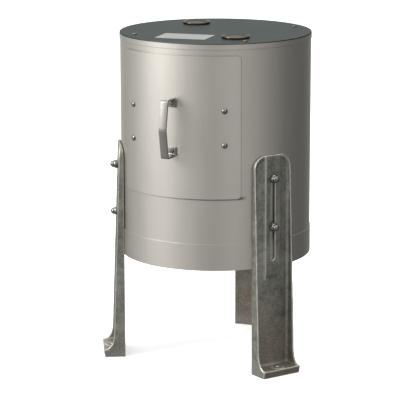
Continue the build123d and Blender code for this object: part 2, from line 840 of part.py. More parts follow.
def set_screw_copies(shape):
    """Three copies of a shape around the collar; the shape's axis is the screw's."""
    turned = Pos(0, 0, set_screw_station) * Rot(0, 90, 0) * shape
    return [at_burner(Rot(0, 0, angle) * turned) for angle in (90, 90 + 120, 90 - 120)]


def saddle_rivet_copies(shape):
    """Four copies of a radial shape near the saddle's corners."""
    reach = saddle_half_size - saddle_rivet_inset
    swing = degrees(asin(reach / drum_radius))
    places = [(side, step) for side in (-1, 1) for step in (-1, 1)]
    heights = [burner_height + step * reach for side, step in places]
    azimuths = [burner_azimuth + side * swing for side, step in places]
    return [radial(shape, height, azimuth) for height, azimuth in zip(heights, azimuths)]


def make_saddle_rivets():
    foot = drum_radius + 3 * seat_gap
    seat = drum_radius + 2 * seat_gap + saddle_sheet
    base = saddle_rivet_radius + saddle_rivet_head
    dome_radius = (base**2 + saddle_rivet_head**2) / (2 * saddle_rivet_head)
    dome = Pos(0, 0, seat + saddle_rivet_head - dome_radius) * Sphere(dome_radius)
    head = dome & rod(base, seat, seat + saddle_rivet_head)
    return saddle_rivet_copies(head + rod(saddle_rivet_radius, foot, seat + saddle_rivet_head / 2))


def make_set_screws():
    tip = burner_tube_radius + seat_gap
    knob_start = tip + set_screw_length
    knob = hexagon(2 * set_screw_knob_radius, knob_start, knob_start + set_screw_knob_length)
    return set_screw_copies(rod(set_screw_radius, tip, knob_start) + knob)


def make_burner_tube():
    tube = rod(burner_tube_radius, burner_tube_start, burner_tube_end - seat_gap)
    return at_burner(tube - rod(burner_tube_bore, burner_tube_start - overcut, burner_tube_end + overcut))


def make_flame_nozzle():
    """A stainless sleeve over the tube's inner end, with a flared mouth."""
    shoulder = burner_tube_start - 2 * seat_gap
    nozzle = rod(nozzle_radius, nozzle_start, nozzle_end)
    nozzle -= rod(burner_tube_radius + seat_gap, shoulder, nozzle_end + overcut)
    mouth_radius = nozzle_radius - flue_tube_wall / 2
    flare_length = shoulder - nozzle_start
    flare = Pos(0, 0, nozzle_start + flare_length / 2) * Cone(mouth_radius, burner_tube_bore, flare_length)
    return at_burner(nozzle - flare - rod(burner_tube_bore, nozzle_start - overcut, nozzle_end))


def air_windows():
    """The round air windows that the mixer's end wall and the shutter share."""
    window = rod(air_window_radius, mixer_end - 1.5 * mixer_wall, shutter_seat + overcut)
    step = 360 / air_window_count
    return [Rot(0, 0, step * n) * Pos(air_window_circle, 0, 0) * window for n in range(air_window_count)]


def make_mixer():
    """The cast mixer: a socket on the tube that widens to a mouth with an end wall of air windows."""
    throat = burner_tube_end + mixer_wall
    widest = mixer_end - mixer_mouth_length
    socket_bore = burner_tube_radius + seat_gap
    mouth_bore = mixer_mouth_radius - mixer_wall
    outside = make_face(
        Polyline(
            (0, mixer_start),
            (mixer_socket_radius, mixer_start),
            (mixer_socket_radius, throat),
            (mixer_mouth_radius, widest),
            (mixer_mouth_radius, mixer_end),
            (0, mixer_end),
            close=True,
        )
    )
    inside = make_face(
        Polyline(
            (0, mixer_start - fuse),
            (socket_bore, mixer_start - fuse),
            (socket_bore, burner_tube_end),
            (burner_tube_bore, burner_tube_end),
            (burner_tube_bore, throat),
            (mouth_bore, widest + mixer_wall / 2),
            (mouth_bore, mixer_end - mixer_wall),
            (0, mixer_end - mixer_wall),
            close=True,
        )
    )
    body = revolve(Plane.XZ * outside, Axis.Z) - revolve(Plane.XZ * inside, Axis.Z)
    body -= air_windows()
    return at_burner(body - rod(jet_holder_radius + seat_gap, widest, mixer_end + overcut))


def make_air_shutter():
    """A disc with the same windows that turns on the mixer's face, with a finger tab."""
    disc_radius = mixer_mouth_radius - shutter_inset
    disc = rod(disc_radius, shutter_seat, shutter_seat + shutter_thickness)
    tab_centre = disc_radius + shutter_tab_length / 2
    tab = Box(shutter_tab_width, shutter_tab_length + 2 * shutter_inset, shutter_thickness)
    disc += Pos(0, -tab_centre, shutter_seat + shutter_thickness / 2) * tab
    disc -= air_windows()
    return at_burner(disc - rod(jet_holder_radius + slide_gap, mixer_end, jet_nut_seat))


def make_jet_holder():
    """A brass rod through the mixer's end wall, with a hexagon that traps the shutter."""
    holder = rod(jet_holder_radius, jet_holder_start, jet_nut_top)
    holder += hexagon(jet_nut_across_flats, jet_nut_seat, jet_nut_top)
    return at_burner(holder - rod(jet_holder_bore, jet_holder_start - overcut, jet_nut_top + overcut))


def make_gas_jet():
    seat = jet_holder_start - seat_gap
    tip = seat - jet_length
    jet = rod(jet_radius, tip + jet_tip_length, seat)
    jet += Pos(0, 0, tip + jet_tip_length / 2) * Cone(jet_tip_radius, jet_radius, jet_tip_length)
    return at_burner(jet - rod(jet_bore, tip - overcut, seat + overcut))


def make_gas_elbow():
    """A round elbow that turns the gas line down."""
    start = jet_nut_top + seat_gap
    corner = Pos(0, 0, elbow_station)
    down = corner * Rot(90, 0, 0)
    elbow = rod(elbow_radius, start, elbow_station) + corner * Sphere(elbow_radius)
    elbow += down * rod(elbow_radius, 0, elbow_reach)
    elbow -= rod(gas_pipe_bore, start - overcut, elbow_station)
    elbow -= corner * Sphere(gas_pipe_bore)
    return at_burner(elbow - down * rod(gas_pipe_bore, 0, elbow_reach + overcut))


def at_gas_line(shape):
    """Places an upright shape on the gas line's axis; its local +X is outwards, -Y towards the rear leg."""
    x, y = polar(elbow_station, burner_azimuth)
    return Pos(x, y, 0) * Rot(0, 0, burner_azimuth - 90) * shape


def stem_axis(shape):
    """Turns a shape's local axis from the ball's centre out along the valve's stem."""
    return at_gas_line(Pos(0, 0, valve_middle) * Rot(90, 0, 0) * shape)


def make_gas_riser():
    riser = rod(gas_pipe_radius, valve_top + seat_gap, riser_top - seat_gap)
    return at_gas_line(riser - rod(gas_pipe_bore, valve_top - overcut, riser_top + overcut))


def make_valve_body():
    """A brass ball valve with hexagon ends and a round middle, hollow for its ball and stem."""
    body = rod(valve_body_radius, valve_bottom, valve_top)
    for start in (valve_bottom, valve_top - valve_hex_length):
        body += hexagon(2 * valve_body_radius, start, start + valve_hex_length)
    body -= rod(valve_bore, valve_bottom - overcut, valve_top + overcut)
    body = at_gas_line(body - Pos(0, 0, valve_middle) * Sphere(valve_ball_radius + slide_gap))
    return body - stem_axis(rod(valve_stem_radius + slide_gap, 0, lever_seat))


def make_valve_bonnet():
    end = valve_body_radius + bonnet_length
    bonnet = rod(bonnet_radius, 0, end) - rod(valve_stem_radius + slide_gap, 0, end + overcut)
    return stem_axis(bonnet) - at_gas_line(rod(valve_body_radius + seat_gap, valve_bottom, valve_top))


def make_valve_ball():
    ball = Sphere(valve_ball_radius) - rod(valve_bore, -2 * valve_ball_radius, 2 * valve_ball_radius)
    return at_gas_line(Pos(0, 0, valve_middle) * ball)


def make_valve_stem():
    tip = lever_seat + lever_thickness + lever_nut_height + thread_show
    stem = rod(valve_stem_radius, valve_ball_radius / 2, tip)
    return stem_axis(stem - Sphere(valve_ball_radius + seat_gap))


def make_valve_lever():
    """A flat lever that hangs along the pipe when open."""
    blade = Pos(0, -lever_length / 2) * SlotOverall(lever_length, lever_width, rotation=90)
    lever = Pos(0, 0, lever_seat) * extrude(Circle(lever_hub_radius) + blade, lever_thickness)
    hole = rod(valve_stem_radius + thread_gap, lever_seat - overcut, lever_seat + overcut)
    return stem_axis(lever - hole)


def make_lever_nut():
    seat = lever_seat + lever_thickness + seat_gap
    top = seat + lever_nut_height
    thread = rod(valve_stem_radius + thread_gap, seat - overcut, top + overcut)
    return stem_axis(hexagon(lever_nut_across_flats, seat, top) - thread)


def make_gas_inlet():
    """A hexagon nipple under the valve, with the male thread that takes the gas hose."""
    top = valve_bottom - seat_gap
    hex_bottom = top - inlet_hex_height
    bottom = hex_bottom - inlet_thread_length
    nipple = hexagon(inlet_hex_across_flats, hex_bottom, top) + rod(inlet_thread_radius, bottom, hex_bottom)
    return at_gas_line(nipple - rod(valve_bore, bottom - overcut, top + overcut))


def nodes():
    """Every sub-part by its node name."""
    made = {
        "shell": make_shell(),
        "bottom_pan": make_bottom_pan(),
        "top_band": make_top_band(),
        "top_plate": make_top_plate(),
        "top_mounting_ring": make_mounting_ring(),
        "top_plate_screws": make_lid_screws(),
        "data_label": make_label(),
        "fibre_blanket": make_blanket(),
        "liner_right": make_liner_segment(0, liner_joint_azimuth),
        "liner_rear": make_liner_segment(liner_joint_azimuth, 360 - liner_joint_azimuth),
        "liner_left": make_liner_segment(360 - liner_joint_azimuth, 360),
        "door_lintel": make_door_lintel(),
        "floor_board_lower": make_floor_board(floor_stack[0], floor_board_joint - seat_gap / 2),
        "floor_board_upper": make_floor_board(floor_board_joint + seat_gap / 2, floor_stack[1]),
        "hearth_slab": make_hearth(),
        "roof_board": make_roof_board(),
        "roof_slab": make_roof_slab(),
        "flue_collar_front": make_flue_collar(flue_azimuth),
        "flue_collar_rear": make_flue_collar(flue_azimuth + 180),
        "flue_cap_front": make_flue_cap(flue_azimuth),
        "flue_cap_rear": make_flue_cap(flue_azimuth + 180),
        "door_frame": make_door_frame(),
        "door_panel": make_door_panel(),
        "door_gasket": make_gasket(),
        "door_tray": make_door_tray(),
        "door_block": make_door_block(),
        "door_clip_left": make_door_clip(-1),
        "door_clip_right": make_door_clip(1),
        "door_bolts": make_door_bolts(),
        "door_bolt_nuts": make_door_bolt_nuts(),
        "door_handle": make_handle(),
        "handle_screws": make_handle_screws(),
        "handle_nuts": make_handle_nuts(),
        "leg_stud_plates": make_stud_plates(),
        "leg_studs": make_studs(),
        "leg_spacers": make_spacers(),
        "leg_washers": make_washers(),
        "leg_acorn_nuts": make_acorn_nuts(),
        "burner_saddle": make_saddle(),
        "burner_saddle_rivets": make_saddle_rivets(),
        "burner_set_screws": make_set_screws(),
        "burner_tube": make_burner_tube(),
        "flame_nozzle": make_flame_nozzle(),
        "burner_mixer": make_mixer(),
        "air_shutter": make_air_shutter(),
        "jet_holder": make_jet_holder(),
        "gas_jet": make_gas_jet(),
        "gas_elbow": make_gas_elbow(),
        "gas_riser": make_gas_riser(),
        "valve_body": make_valve_body(),
        "valve_bonnet": make_valve_bonnet(),
        "valve_ball": make_valve_ball(),
        "valve_stem": make_valve_stem(),
        "valve_lever": make_valve_lever(),
        "valve_lever_nut": make_lever_nut(),
        "gas_inlet": make_gas_inlet(),
    }
    for side, azimuth in leg_azimuths.items():
        made[f"leg_{side}"] = make_leg(azimuth)
    return made


def main():
    os.makedirs("parts", exist_ok=True)
    for name, shape in nodes().items():
        export_step(Compound(shape) if isinstance(shape, list) else shape, f"parts/{name}.step")


main()
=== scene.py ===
"""Gas forge: the finish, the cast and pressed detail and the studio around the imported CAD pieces."""

import json
from math import atan2, cos, hypot, pi, radians, sin

import bmesh
import bpy
from bpy.props import FloatProperty, FloatVectorProperty, IntProperty, PointerProperty
from mathutils import Matrix, Vector
from mathutils.kdtree import KDTree


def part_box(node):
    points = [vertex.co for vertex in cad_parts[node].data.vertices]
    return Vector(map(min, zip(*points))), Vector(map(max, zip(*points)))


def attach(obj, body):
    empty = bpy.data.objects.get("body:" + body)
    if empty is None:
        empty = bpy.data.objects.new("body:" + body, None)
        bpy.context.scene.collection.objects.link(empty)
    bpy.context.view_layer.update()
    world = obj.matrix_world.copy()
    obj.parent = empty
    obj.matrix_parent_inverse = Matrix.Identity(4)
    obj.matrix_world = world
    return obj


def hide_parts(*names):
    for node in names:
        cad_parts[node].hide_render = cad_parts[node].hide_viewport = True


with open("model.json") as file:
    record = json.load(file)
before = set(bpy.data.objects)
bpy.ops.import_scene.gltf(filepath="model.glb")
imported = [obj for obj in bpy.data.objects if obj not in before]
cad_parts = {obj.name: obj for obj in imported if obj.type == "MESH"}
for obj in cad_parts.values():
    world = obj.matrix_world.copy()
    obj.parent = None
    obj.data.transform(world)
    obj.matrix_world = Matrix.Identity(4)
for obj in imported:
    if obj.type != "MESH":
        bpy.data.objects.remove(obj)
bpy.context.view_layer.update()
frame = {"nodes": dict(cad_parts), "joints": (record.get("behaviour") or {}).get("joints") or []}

bl_info = {
    "name": "Gas Forge",
    "version": (1, 0, 0),
    "blender": (4, 5, 0),
    "location": "View3D > Sidebar > Gas Forge",
    "description": "Builds the visible pieces, the finishes and the studio of a round gas forge",
    "category": "Object",
}

MM = 0.001


# ---- Settings ----
def size_setting(name, description, default):
    """A length in metres."""
    limits = {"min": 0.0, "unit": "LENGTH", "precision": 4}
    return FloatProperty(name=name, description=description, default=default, **limits)


def angle_setting(name, description, default):
    """An angle in radians."""
    return FloatProperty(name=name, description=description, default=default, subtype="ANGLE")


def light_setting(name, description, default):
    """A power or a strength of light."""
    return FloatProperty(name=name, description=description, default=default, min=0.0)


def colour_setting(name, description, default):
    """A linear colour."""
    limits = {"size": 3, "min": 0, "max": 1, "subtype": "COLOR"}
    return FloatVectorProperty(name=name, description=description, default=default, **limits)


class ForgeSizes(bpy.types.PropertyGroup):
    """Sizes of the detail that the pieces get here."""

    sheet_edge: size_setting("Sheet Edge", "Rounding of cut sheet edges", 0.0004)
    machined_edge: size_setting("Machined Edge", "Rounding of turned and milled edges", 0.0003)
    handle_edge: size_setting("Handle Edge", "Rounding of the bow handle's strap", 0.0010)
    casting_grain: size_setting("Casting Grain", "Face size of the leg castings' skin", 0.0015)
    weld_bead: size_setting("Weld Bead", "Radius of the weld around the burner's collar", 0.0022)
    thread_pitch: size_setting("Thread Pitch", "Pitch of the gas inlet's thread", 0.00134)
    grip_wall: size_setting("Grip Wall", "Thickness of the sleeve on the valve's lever", 0.0011)
    spin_steps: IntProperty(name="Spin Steps", description="Segments of a turned piece", default=96, min=12)


class ForgeColours(bpy.types.PropertyGroup):
    """Colours of the finishes."""

    stainless: colour_setting("Stainless", "Satin stainless sheet", (0.60, 0.573, 0.524))
    # Painted reflection: the plate is satin steel, and this dark tone stands for the dark surroundings that
    # it mirrors
    top_plate: colour_setting("Top Plate", "Dark plate on top of the drum", (0.094, 0.104, 0.100))
    polished: colour_setting("Polished", "Polished stainless of nuts, bolts and caps", (0.62, 0.60, 0.57))
    zinc: colour_setting("Zinc", "Zinc-plated steel", (0.50, 0.51, 0.50))
    # Painted highlight in part: the castings' edges, partly rubbed wear, and their bright specks are
    # lightened towards this colour
    cast_rubbed_highlight: colour_setting("Cast Light", "Rubbed edges of the cast aluminium", (0.66, 0.65, 0.61))
    cast_dark: colour_setting("Cast Dark", "Grey skin of the cast aluminium", (0.185, 0.185, 0.160))
    # Painted highlight: the castings' feet are lightened towards this colour
    cast_foot_highlight: colour_setting("Cast Foot", "Paler metal of the castings' feet", (0.36, 0.345, 0.31))
    cast_brown: colour_setting("Cast Brown", "Brown stain in the castings' hollows", (0.20, 0.150, 0.105))
    label: colour_setting("Label", "Bare aluminium of the label", (0.36, 0.365, 0.355))
    label_print: colour_setting("Label Print", "Printed lines of the label", (0.30, 0.29, 0.28))
    fibre: colour_setting("Fibre", "Ceramic fibre", (0.80, 0.79, 0.75))
    refractory: colour_setting("Refractory", "Cast refractory", (0.62, 0.54, 0.42))
    # Painted shade: the dark colour of the painted shadow under the door and of the painted shade on the
    # door's cut edges
    painted_shade: colour_setting("Grime", "Darkened cut edges and scorch on the sheet", (0.10, 0.092, 0.080))
    soot: colour_setting("Soot", "Soot and scorch in the chamber", (0.05, 0.042, 0.036))
    brass: colour_setting("Brass", "Turned brass", (0.66, 0.47, 0.20))
    iron: colour_setting("Iron", "Cast iron", (0.055, 0.055, 0.058))
    black_pipe: colour_setting("Black Pipe", "Blackened steel pipe", (0.035, 0.036, 0.040))
    grip: colour_setting("Grip", "Vinyl sleeve of the valve's lever", (0.48, 0.035, 0.025))
    floor: colour_setting("Floor", "Studio floor and background", (0.93, 0.93, 0.925))


class ForgeStudio(bpy.types.PropertyGroup):
    """Camera and light."""

    camera_azimuth: angle_setting("Camera Azimuth", "Turn from the door towards +X", radians(25.4))
    camera_distance: size_setting("Camera Distance", "Level distance from the drum's axis", 4.319)
    camera_height: size_setting("Camera Height", "Height over the drum's underside", 1.055)
    camera_pitch: angle_setting("Camera Pitch", "Downward tilt", 0.2159)
    camera_yaw: angle_setting("Camera Yaw", "Turn off the axis", -0.0079)
    camera_roll: angle_setting("Camera Roll", "Roll", -0.0019)
    lens: FloatProperty(name="Lens", description="Focal length on a 36 mm sensor", default=182.25, min=1)
    key_power: light_setting("Key Power", "Soft light on the upper left", 62.0)
    top_power: light_setting("Top Power", "Soft light overhead", 14.0)
    room_light: light_setting("Room Light", "Strength of the studio's walls", 1.0)
    floor_glow: light_setting("Floor Glow", "Light that the floor gives off", 0.55)


GROUPS = {"forge_sizes": ForgeSizes, "forge_colours": ForgeColours, "forge_studio": ForgeStudio}


def sizes():
    return bpy.context.scene.forge_sizes


def colours():
    return bpy.context.scene.forge_colours


# ---- Places read from the frame ----
def middle(node):
    """Centre of a CAD node's box."""
    low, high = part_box(node)
    return (low + high) / 2


def joint(name):
    """A joint's facts by its name."""
    return next(j for j in frame["joints"] if j["name"] == name)


def azimuth_turn(azimuth):
    """Turns a piece made at the door's side to an azimuth in degrees about the drum's axis."""
    return Matrix.Rotation(radians(azimuth), 4, "Z")


def axis_frame(point, direction):
    """A frame whose Z runs along a direction from a point."""
    turn = Vector((0, 0, 1)).rotation_difference(Vector(direction)).to_matrix().to_4x4()
    return Matrix.Translation(point) @ turn


DRUM_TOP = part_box("top_plate")[1].z
DRUM_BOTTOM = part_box("bottom_pan")[0].z
DRUM_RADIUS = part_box("shell")[1].x
BURNER_AXIS = Vector(joint("air_shutter_turn")["axis"])
BURNER_FACE = Vector(joint("air_shutter_turn")["pos_m"])
LEG_AZIMUTHS = {"leg_left": -60.0, "leg_right": 60.0, "leg_rear": 180.0}
LEG_HALF_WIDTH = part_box("leg_rear")[1].x

# Vertices nearer than this are one vertex of a CAD mesh
SEAM = 2e-6
# Edges turn sharp from this angle on, in degrees
SHARP_ANGLE = 28.0
# How nearly a face looks straight up, tilts up or looks out from the axis, as cosines
LEVEL = 0.9999
TILTED = 0.25
BROAD = 0.985


# ---- Mesh helpers ----
def placed(name, data):
    """A new object in the scene."""
    made = bpy.data.objects.new(name, data)
    bpy.context.scene.collection.objects.link(made)
    return made


def finish_mesh(name, bm, body, finish, replaces=(), smooth_angle=35.0, clean=True):
    """Turns a bmesh into a piece that rides on a body, wears a finish and may stand for CAD nodes."""
    if clean:
        bmesh.ops.remove_doubles(bm, verts=bm.verts, dist=1e-6)
        bmesh.ops.recalc_face_normals(bm, faces=bm.faces)
    for face in bm.faces:
        face.smooth = True
    limit = radians(smooth_angle)
    for edge in bm.edges:
        edge.smooth = edge.is_manifold and edge.calc_face_angle(pi) < limit
    mesh = bpy.data.meshes.new(name)
    bm.to_mesh(mesh)
    bm.free()
    mesh.materials.append(finish_named(finish))
    piece = placed(name, mesh)
    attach(piece, body)
    if replaces:
        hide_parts(*replaces)
    return piece


def copy_of(node):
    """A CAD node's mesh as a bmesh, with its seams merged."""
    bm = bmesh.new()
    bm.from_mesh(frame["nodes"][node].data)
    bmesh.ops.remove_doubles(bm, verts=bm.verts, dist=SEAM)
    return bm


def bevel(bm, edges, width, segments):
    """Rounds edges and gives the faces of the roundings."""
    rounded = bmesh.ops.bevel(
        bm, geom=edges, offset=width, offset_type="OFFSET", affect="EDGES", segments=segments, profile=0.5,
        clamp_overlap=True, material=-1,
    )
    return rounded["faces"]


def soften(bm, width, segments=2):
    """Joins flat regions into single faces, rounds the sharp edges and marks the roundings as "rim"."""
    bmesh.ops.dissolve_limit(bm, angle_limit=radians(0.6), verts=bm.verts, edges=bm.edges)
    sharp = [e for e in bm.edges if e.is_manifold and e.calc_face_angle(0) > radians(SHARP_ANGLE)]
    rounded = bevel(bm, sharp, width, segments)
    rim = bm.loops.layers.float.new("rim")
    for face in rounded:
        for loop in face.loops:
            loop[rim] = 1.0


def softened(name, node, body, finish, width, segments=2, smooth_angle=35.0):
    """Makes a piece that stands for a CAD node, with its sharp edges rounded."""
    bm = copy_of(node)
    soften(bm, width, segments)
    shade_true(finish_mesh(name, bm, body, finish, [node], smooth_angle), rolled=False)


def rolled_sheet(name, node, body, finish, width):
    """Makes a piece of sheet bent about the drum's axis, with "rim" on its upper and lower cut edges."""
    bm = copy_of(node)
    soften(bm, width)
    rim = bm.loops.layers.float["rim"]
    for face in bm.faces:
        if abs(face.normal.dot(outward_at(face.calc_center_median()))) < BROAD:
            for loop in face.loops:
                loop[rim] = 1.0 if abs(face.normal.z) > TILTED else 0.0
    shade_true(finish_mesh(name, bm, body, finish, [node]), rolled=True)


def shade_true(piece, rolled):
    """Shades level faces as flat and, on rolled sheet, the broad faces as a true cylinder."""
    mesh = piece.data
    normals = [corner.vector.copy() for corner in mesh.corner_normals]
    for polygon in mesh.polygons:
        facing = polygon.normal.dot(outward_at(polygon.center))
        if abs(polygon.normal.z) > LEVEL:
            for loop in polygon.loop_indices:
                normals[loop] = polygon.normal.copy()
        elif rolled and abs(facing) > BROAD:
            for loop in polygon.loop_indices:
                outward = outward_at(mesh.vertices[mesh.loops[loop].vertex_index].co)
                normals[loop] = outward if facing > 0 else -outward
    mesh.normals_split_custom_set(normals)


def outward_at(place):
    """The level direction from the drum's axis to a place."""
    return Vector((place.x, place.y, 0)).normalized()


def dense_skin(bm, grain):
    """A bmesh rebuilt as an even skin of small faces."""
    mesh = bpy.data.meshes.new("casting_source")
    bm.to_mesh(mesh)
    bm.free()
    holder = placed("casting_holder", mesh)
    remesh = holder.modifiers.new("skin", "REMESH")
    remesh.mode = "VOXEL"
    remesh.voxel_size = grain
    skin = bpy.data.meshes.new_from_object(holder.evaluated_get(bpy.context.evaluated_depsgraph_get()))
    dense = bmesh.new()
    dense.from_mesh(skin)
    bpy.data.objects.remove(holder)
    bpy.data.meshes.remove(skin)
    bpy.data.meshes.remove(mesh)
    return dense


def outer_edges(bm, spacing):
    """A search tree of points along the sharp edges that stand out."""
    limit = radians(SHARP_ANGLE)
    sharp = [e for e in bm.edges if e.is_manifold and e.is_convex and e.calc_face_angle(0) > limit]
    points = []
    for edge in sharp:
        first, last = (v.co for v in edge.verts)
        count = max(1, int(edge.calc_length() / spacing))
        points += [first.lerp(last, n / count) for n in range(count + 1)]
    tree = KDTree(len(points))
    for n, point in enumerate(points):
        tree.insert(point, n)
    tree.balance()
    return tree


# Spacing of the points that stand for a casting's outer edges
EDGE_SPACING = 1.5 * MM
# Distances from an outer edge over which the lighter edge, partly rubbed wear and partly painted highlight,
# fades away
RUBBED_AND_HIGHLIT = (0.6 * MM, 2.8 * MM)
# Heights over which the brown stain in the channel fades away
STAINED = (30 * MM, 230 * MM)
CHANNEL_WALL = 5 * MM
# Cosines to the outward direction from which a face looks into the channel or at the drum
INTO_CHANNEL = -0.2
AT_DRUM = -0.6


def cast_skin(node, azimuth):
    """A leg's node as a casting in small faces; "rim" is 1 on its outer edges and "stain" in its hollows."""
    source = copy_of(node)
    edges = outer_edges(source, EDGE_SPACING)
    low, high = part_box(node)
    bm = dense_skin(source, sizes().casting_grain)
    every_way = {"use_axis_x": True, "use_axis_y": True, "use_axis_z": True}
    for step in range(2):
        bmesh.ops.smooth_vert(bm, verts=bm.verts, factor=0.5, **every_way)
    bm.normal_update()
    rim = bm.verts.layers.float.new("rim")
    stain = bm.verts.layers.float.new("stain")
    outward = azimuth_turn(azimuth) @ Vector((0, -1, 0))
    sideways = azimuth_turn(azimuth) @ Vector((1, 0, 0))
    flange = LEG_HALF_WIDTH - CHANNEL_WALL
    for vert in bm.verts:
        place = vert.co
        for n in range(3):
            place[n] = min(max(place[n], low[n]), high[n])
        vert[rim] = 1 - smooth_share(edges.find(place)[2], *RUBBED_AND_HIGHLIT)
        facing = vert.normal.dot(outward)
        in_channel = abs(place.dot(sideways)) < flange and facing > INTO_CHANNEL
        vert[stain] = 1.0 if facing < AT_DRUM else in_channel * (1 - smooth_share(place.z, *STAINED))
    return bm


def smooth_share(value, low, high):
    """Nought below low, one above high and smooth between."""
    share = min(max((value - low) / (high - low), 0), 1)
    return share * share * (3 - 2 * share)


def spun(profile, steps, x, y):
    """A shape turned about an upright axis at x, y from (radius, height) points."""
    bm = bmesh.new()
    verts = [bm.verts.new((radius, 0, height)) for radius, height in profile]
    edges = [bm.edges.new(pair) for pair in zip(verts, verts[1:])]
    bmesh.ops.spin(
        bm, geom=verts + edges, cent=(0, 0, 0), axis=(0, 0, 1), angle=2 * pi, steps=steps, use_merge=True
    )
    bmesh.ops.remove_doubles(bm, verts=bm.verts, dist=1e-7)
    bmesh.ops.transform(bm, matrix=Matrix.Translation((x, y, 0)), verts=bm.verts)
    return bm


def arc(centre, radius, start, end, steps):
    """Points of a round stretch between two angles in degrees."""
    turns = [radians(start + (end - start) * n / steps) for n in range(steps + 1)]
    return [(centre[0] + radius * cos(t), centre[1] + radius * sin(t)) for t in turns]


def join_bmesh(target, source):
    """Adds one bmesh to another."""
    mesh = bpy.data.meshes.new("joined")
    source.to_mesh(mesh)
    source.free()
    target.from_mesh(mesh)
    bpy.data.meshes.remove(mesh)


# ---- Shader helpers ----
class Wire:
    """An output of a node. Arithmetic on it adds Math nodes, and node() adds any other kind."""

    def __init__(self, tree, socket=None):
        self.tree = tree
        self.socket = socket

    def node(self, kind, settings=None, inputs=None, output=0, stops=None):
        """Adds a node, sets its settings, then sets or links its sockets, and gives one output."""
        made = self.tree.nodes.new(kind)
        for name, value in (settings or {}).items():
            owner, _, leaf = name.rpartition(".")
            setattr(getattr(made, owner) if owner else made, leaf, value)
        if stops:
            for element in stops[2:]:
                made.color_ramp.elements.new(element[0])
            for element, (place, value) in zip(made.color_ramp.elements, stops):
                element.position = place
                element.color = (value, value, value, 1)
        for name, value in (inputs or {}).items():
            if isinstance(value, Wire):
                self.tree.links.new(value.socket, made.inputs[name])
            else:
                made.inputs[name].default_value = value
        return Wire(self.tree, made.outputs[output])

    def math(self, operation, first, second=0.0):
        return self.node("ShaderNodeMath", {"operation": operation}, {0: first, 1: second})

    def __add__(self, other):
        return self.math("ADD", self, other)

    def __sub__(self, other):
        return self.math("SUBTRACT", self, other)

    def __rsub__(self, other):
        return self.math("SUBTRACT", other, self)

    def __mul__(self, other):
        return self.math("MULTIPLY", self, other)

    __radd__ = __add__
    __rmul__ = __mul__

    def part(self, n):
        """One component of a vector."""
        return self.node("ShaderNodeSeparateXYZ", None, {0: self}, output=n)

    def clamp(self):
        return self.node("ShaderNodeClamp", None, {"Value": self})

    def band(self, low, high):
        """Nought below low, one above high and smooth between."""
        settings = {"interpolation_type": "SMOOTHSTEP"}
        return self.node("ShaderNodeMapRange", settings, {"Value": self, "From Min": low, "From Max": high})

    def between(self, first, second):
        """A colour between two others, where this is the share of the second."""
        ends = {6: rgba(first), 7: rgba(second)}
        return self.node("ShaderNodeMix", {"data_type": "RGBA"}, {0: self, **ends}, output=2)


def rgba(colour):
    """A colour with its alpha, or a wire as it is."""
    return colour if isinstance(colour, Wire) else (*tuple(colour)[:3], 1.0)


def shade(colour, factor):
    """A colour made lighter or darker."""
    return tuple(min(1.0, part * factor) for part in tuple(colour)[:3])


class Finish:
    """A material in the making, with the coordinates and noises that the finishes share."""

    def __init__(self, name, metallic=0.0, roughness=0.5, coat=0.0, specular=0.5):
        self.material = bpy.data.materials.new(name)
        self.material.use_nodes = True
        tree = self.material.node_tree
        self.surface = tree.nodes["Principled BSDF"]
        self.surface.inputs["Metallic"].default_value = metallic
        self.surface.inputs["Roughness"].default_value = roughness
        self.surface.inputs["Coat Weight"].default_value = coat
        self.surface.inputs["Specular IOR Level"].default_value = specular
        self.start = Wire(tree)
        self.place = self.start.node("ShaderNodeTexCoord", output=3)

    def stretched(self, scale):
        """Object coordinates scaled by axis, in cycles per metre."""
        return self.start.node("ShaderNodeMapping", None, {"Vector": self.place, "Scale": scale})

    def noise(self, scale, detail=4.0, rough=0.55, stretch=None, distortion=0.0):
        """Fractal noise of so many cycles per metre."""
        inputs = {"Vector": self.stretched(stretch) if stretch else self.place}
        inputs.update({"Scale": scale, "Detail": detail, "Roughness": rough, "Distortion": distortion})
        return self.start.node("ShaderNodeTexNoise", None, inputs)

    def cells(self, scale, feature="F1"):
        """Distance to scattered points or to the borders between them."""
        inputs = {"Vector": self.place, "Scale": scale}
        return self.start.node("ShaderNodeTexVoronoi", {"feature": feature}, inputs)

    def scratches(self):
        """Upright hairline scratches of turned and pressed steel."""
        return self.noise(900.0, 3.0, 0.5, stretch=(1.0, 1.0, 0.12))

    def axis(self, name):
        """One object coordinate."""
        return self.place.part("XYZ".index(name))

    def marked(self, name):
        """A number stored on the mesh: "rim", or "stain" on the castings."""
        return self.start.node("ShaderNodeAttribute", {"attribute_name": name}, output=2)

    def set(self, **wires):
        """Links wires to sockets whose names are given with underscores."""
        for name, wire in wires.items():
            self.start.tree.links.new(wire.socket, self.surface.inputs[name.replace("_", " ")])
        return self

    def bump(self, height, distance, strength):
        """Relief of so many metres."""
        settings = {"Height": height, "Distance": distance, "Strength": strength}
        return self.set(Normal=self.start.node("ShaderNodeBump", None, settings))

# ---- Finishes ----
# Linear colours of wear, heat and dirt, the caps' skirt painted dark as painted reflection, and tints of
# grazing reflections
RUST = (0.16, 0.06, 0.025)
WORN_STEEL = (0.16, 0.155, 0.15)
BLUED_STEEL = (0.10, 0.11, 0.20)
BRONZED_STEEL = (0.34, 0.20, 0.10)
YELLOWED_ZINC = (0.50, 0.46, 0.34)
FIBRE_DIRT = (0.42, 0.36, 0.28)
CRACK = (0.10, 0.08, 0.06)
GRIP_DUST = (0.30, 0.24, 0.22)
CAP_SKIRT_PAINTED_REFLECTION = (0.20, 0.182, 0.155)
CAP_TINT = (0.50, 0.48, 0.44, 1)
PLATE_TINT = (0.54, 0.58, 0.565, 1)


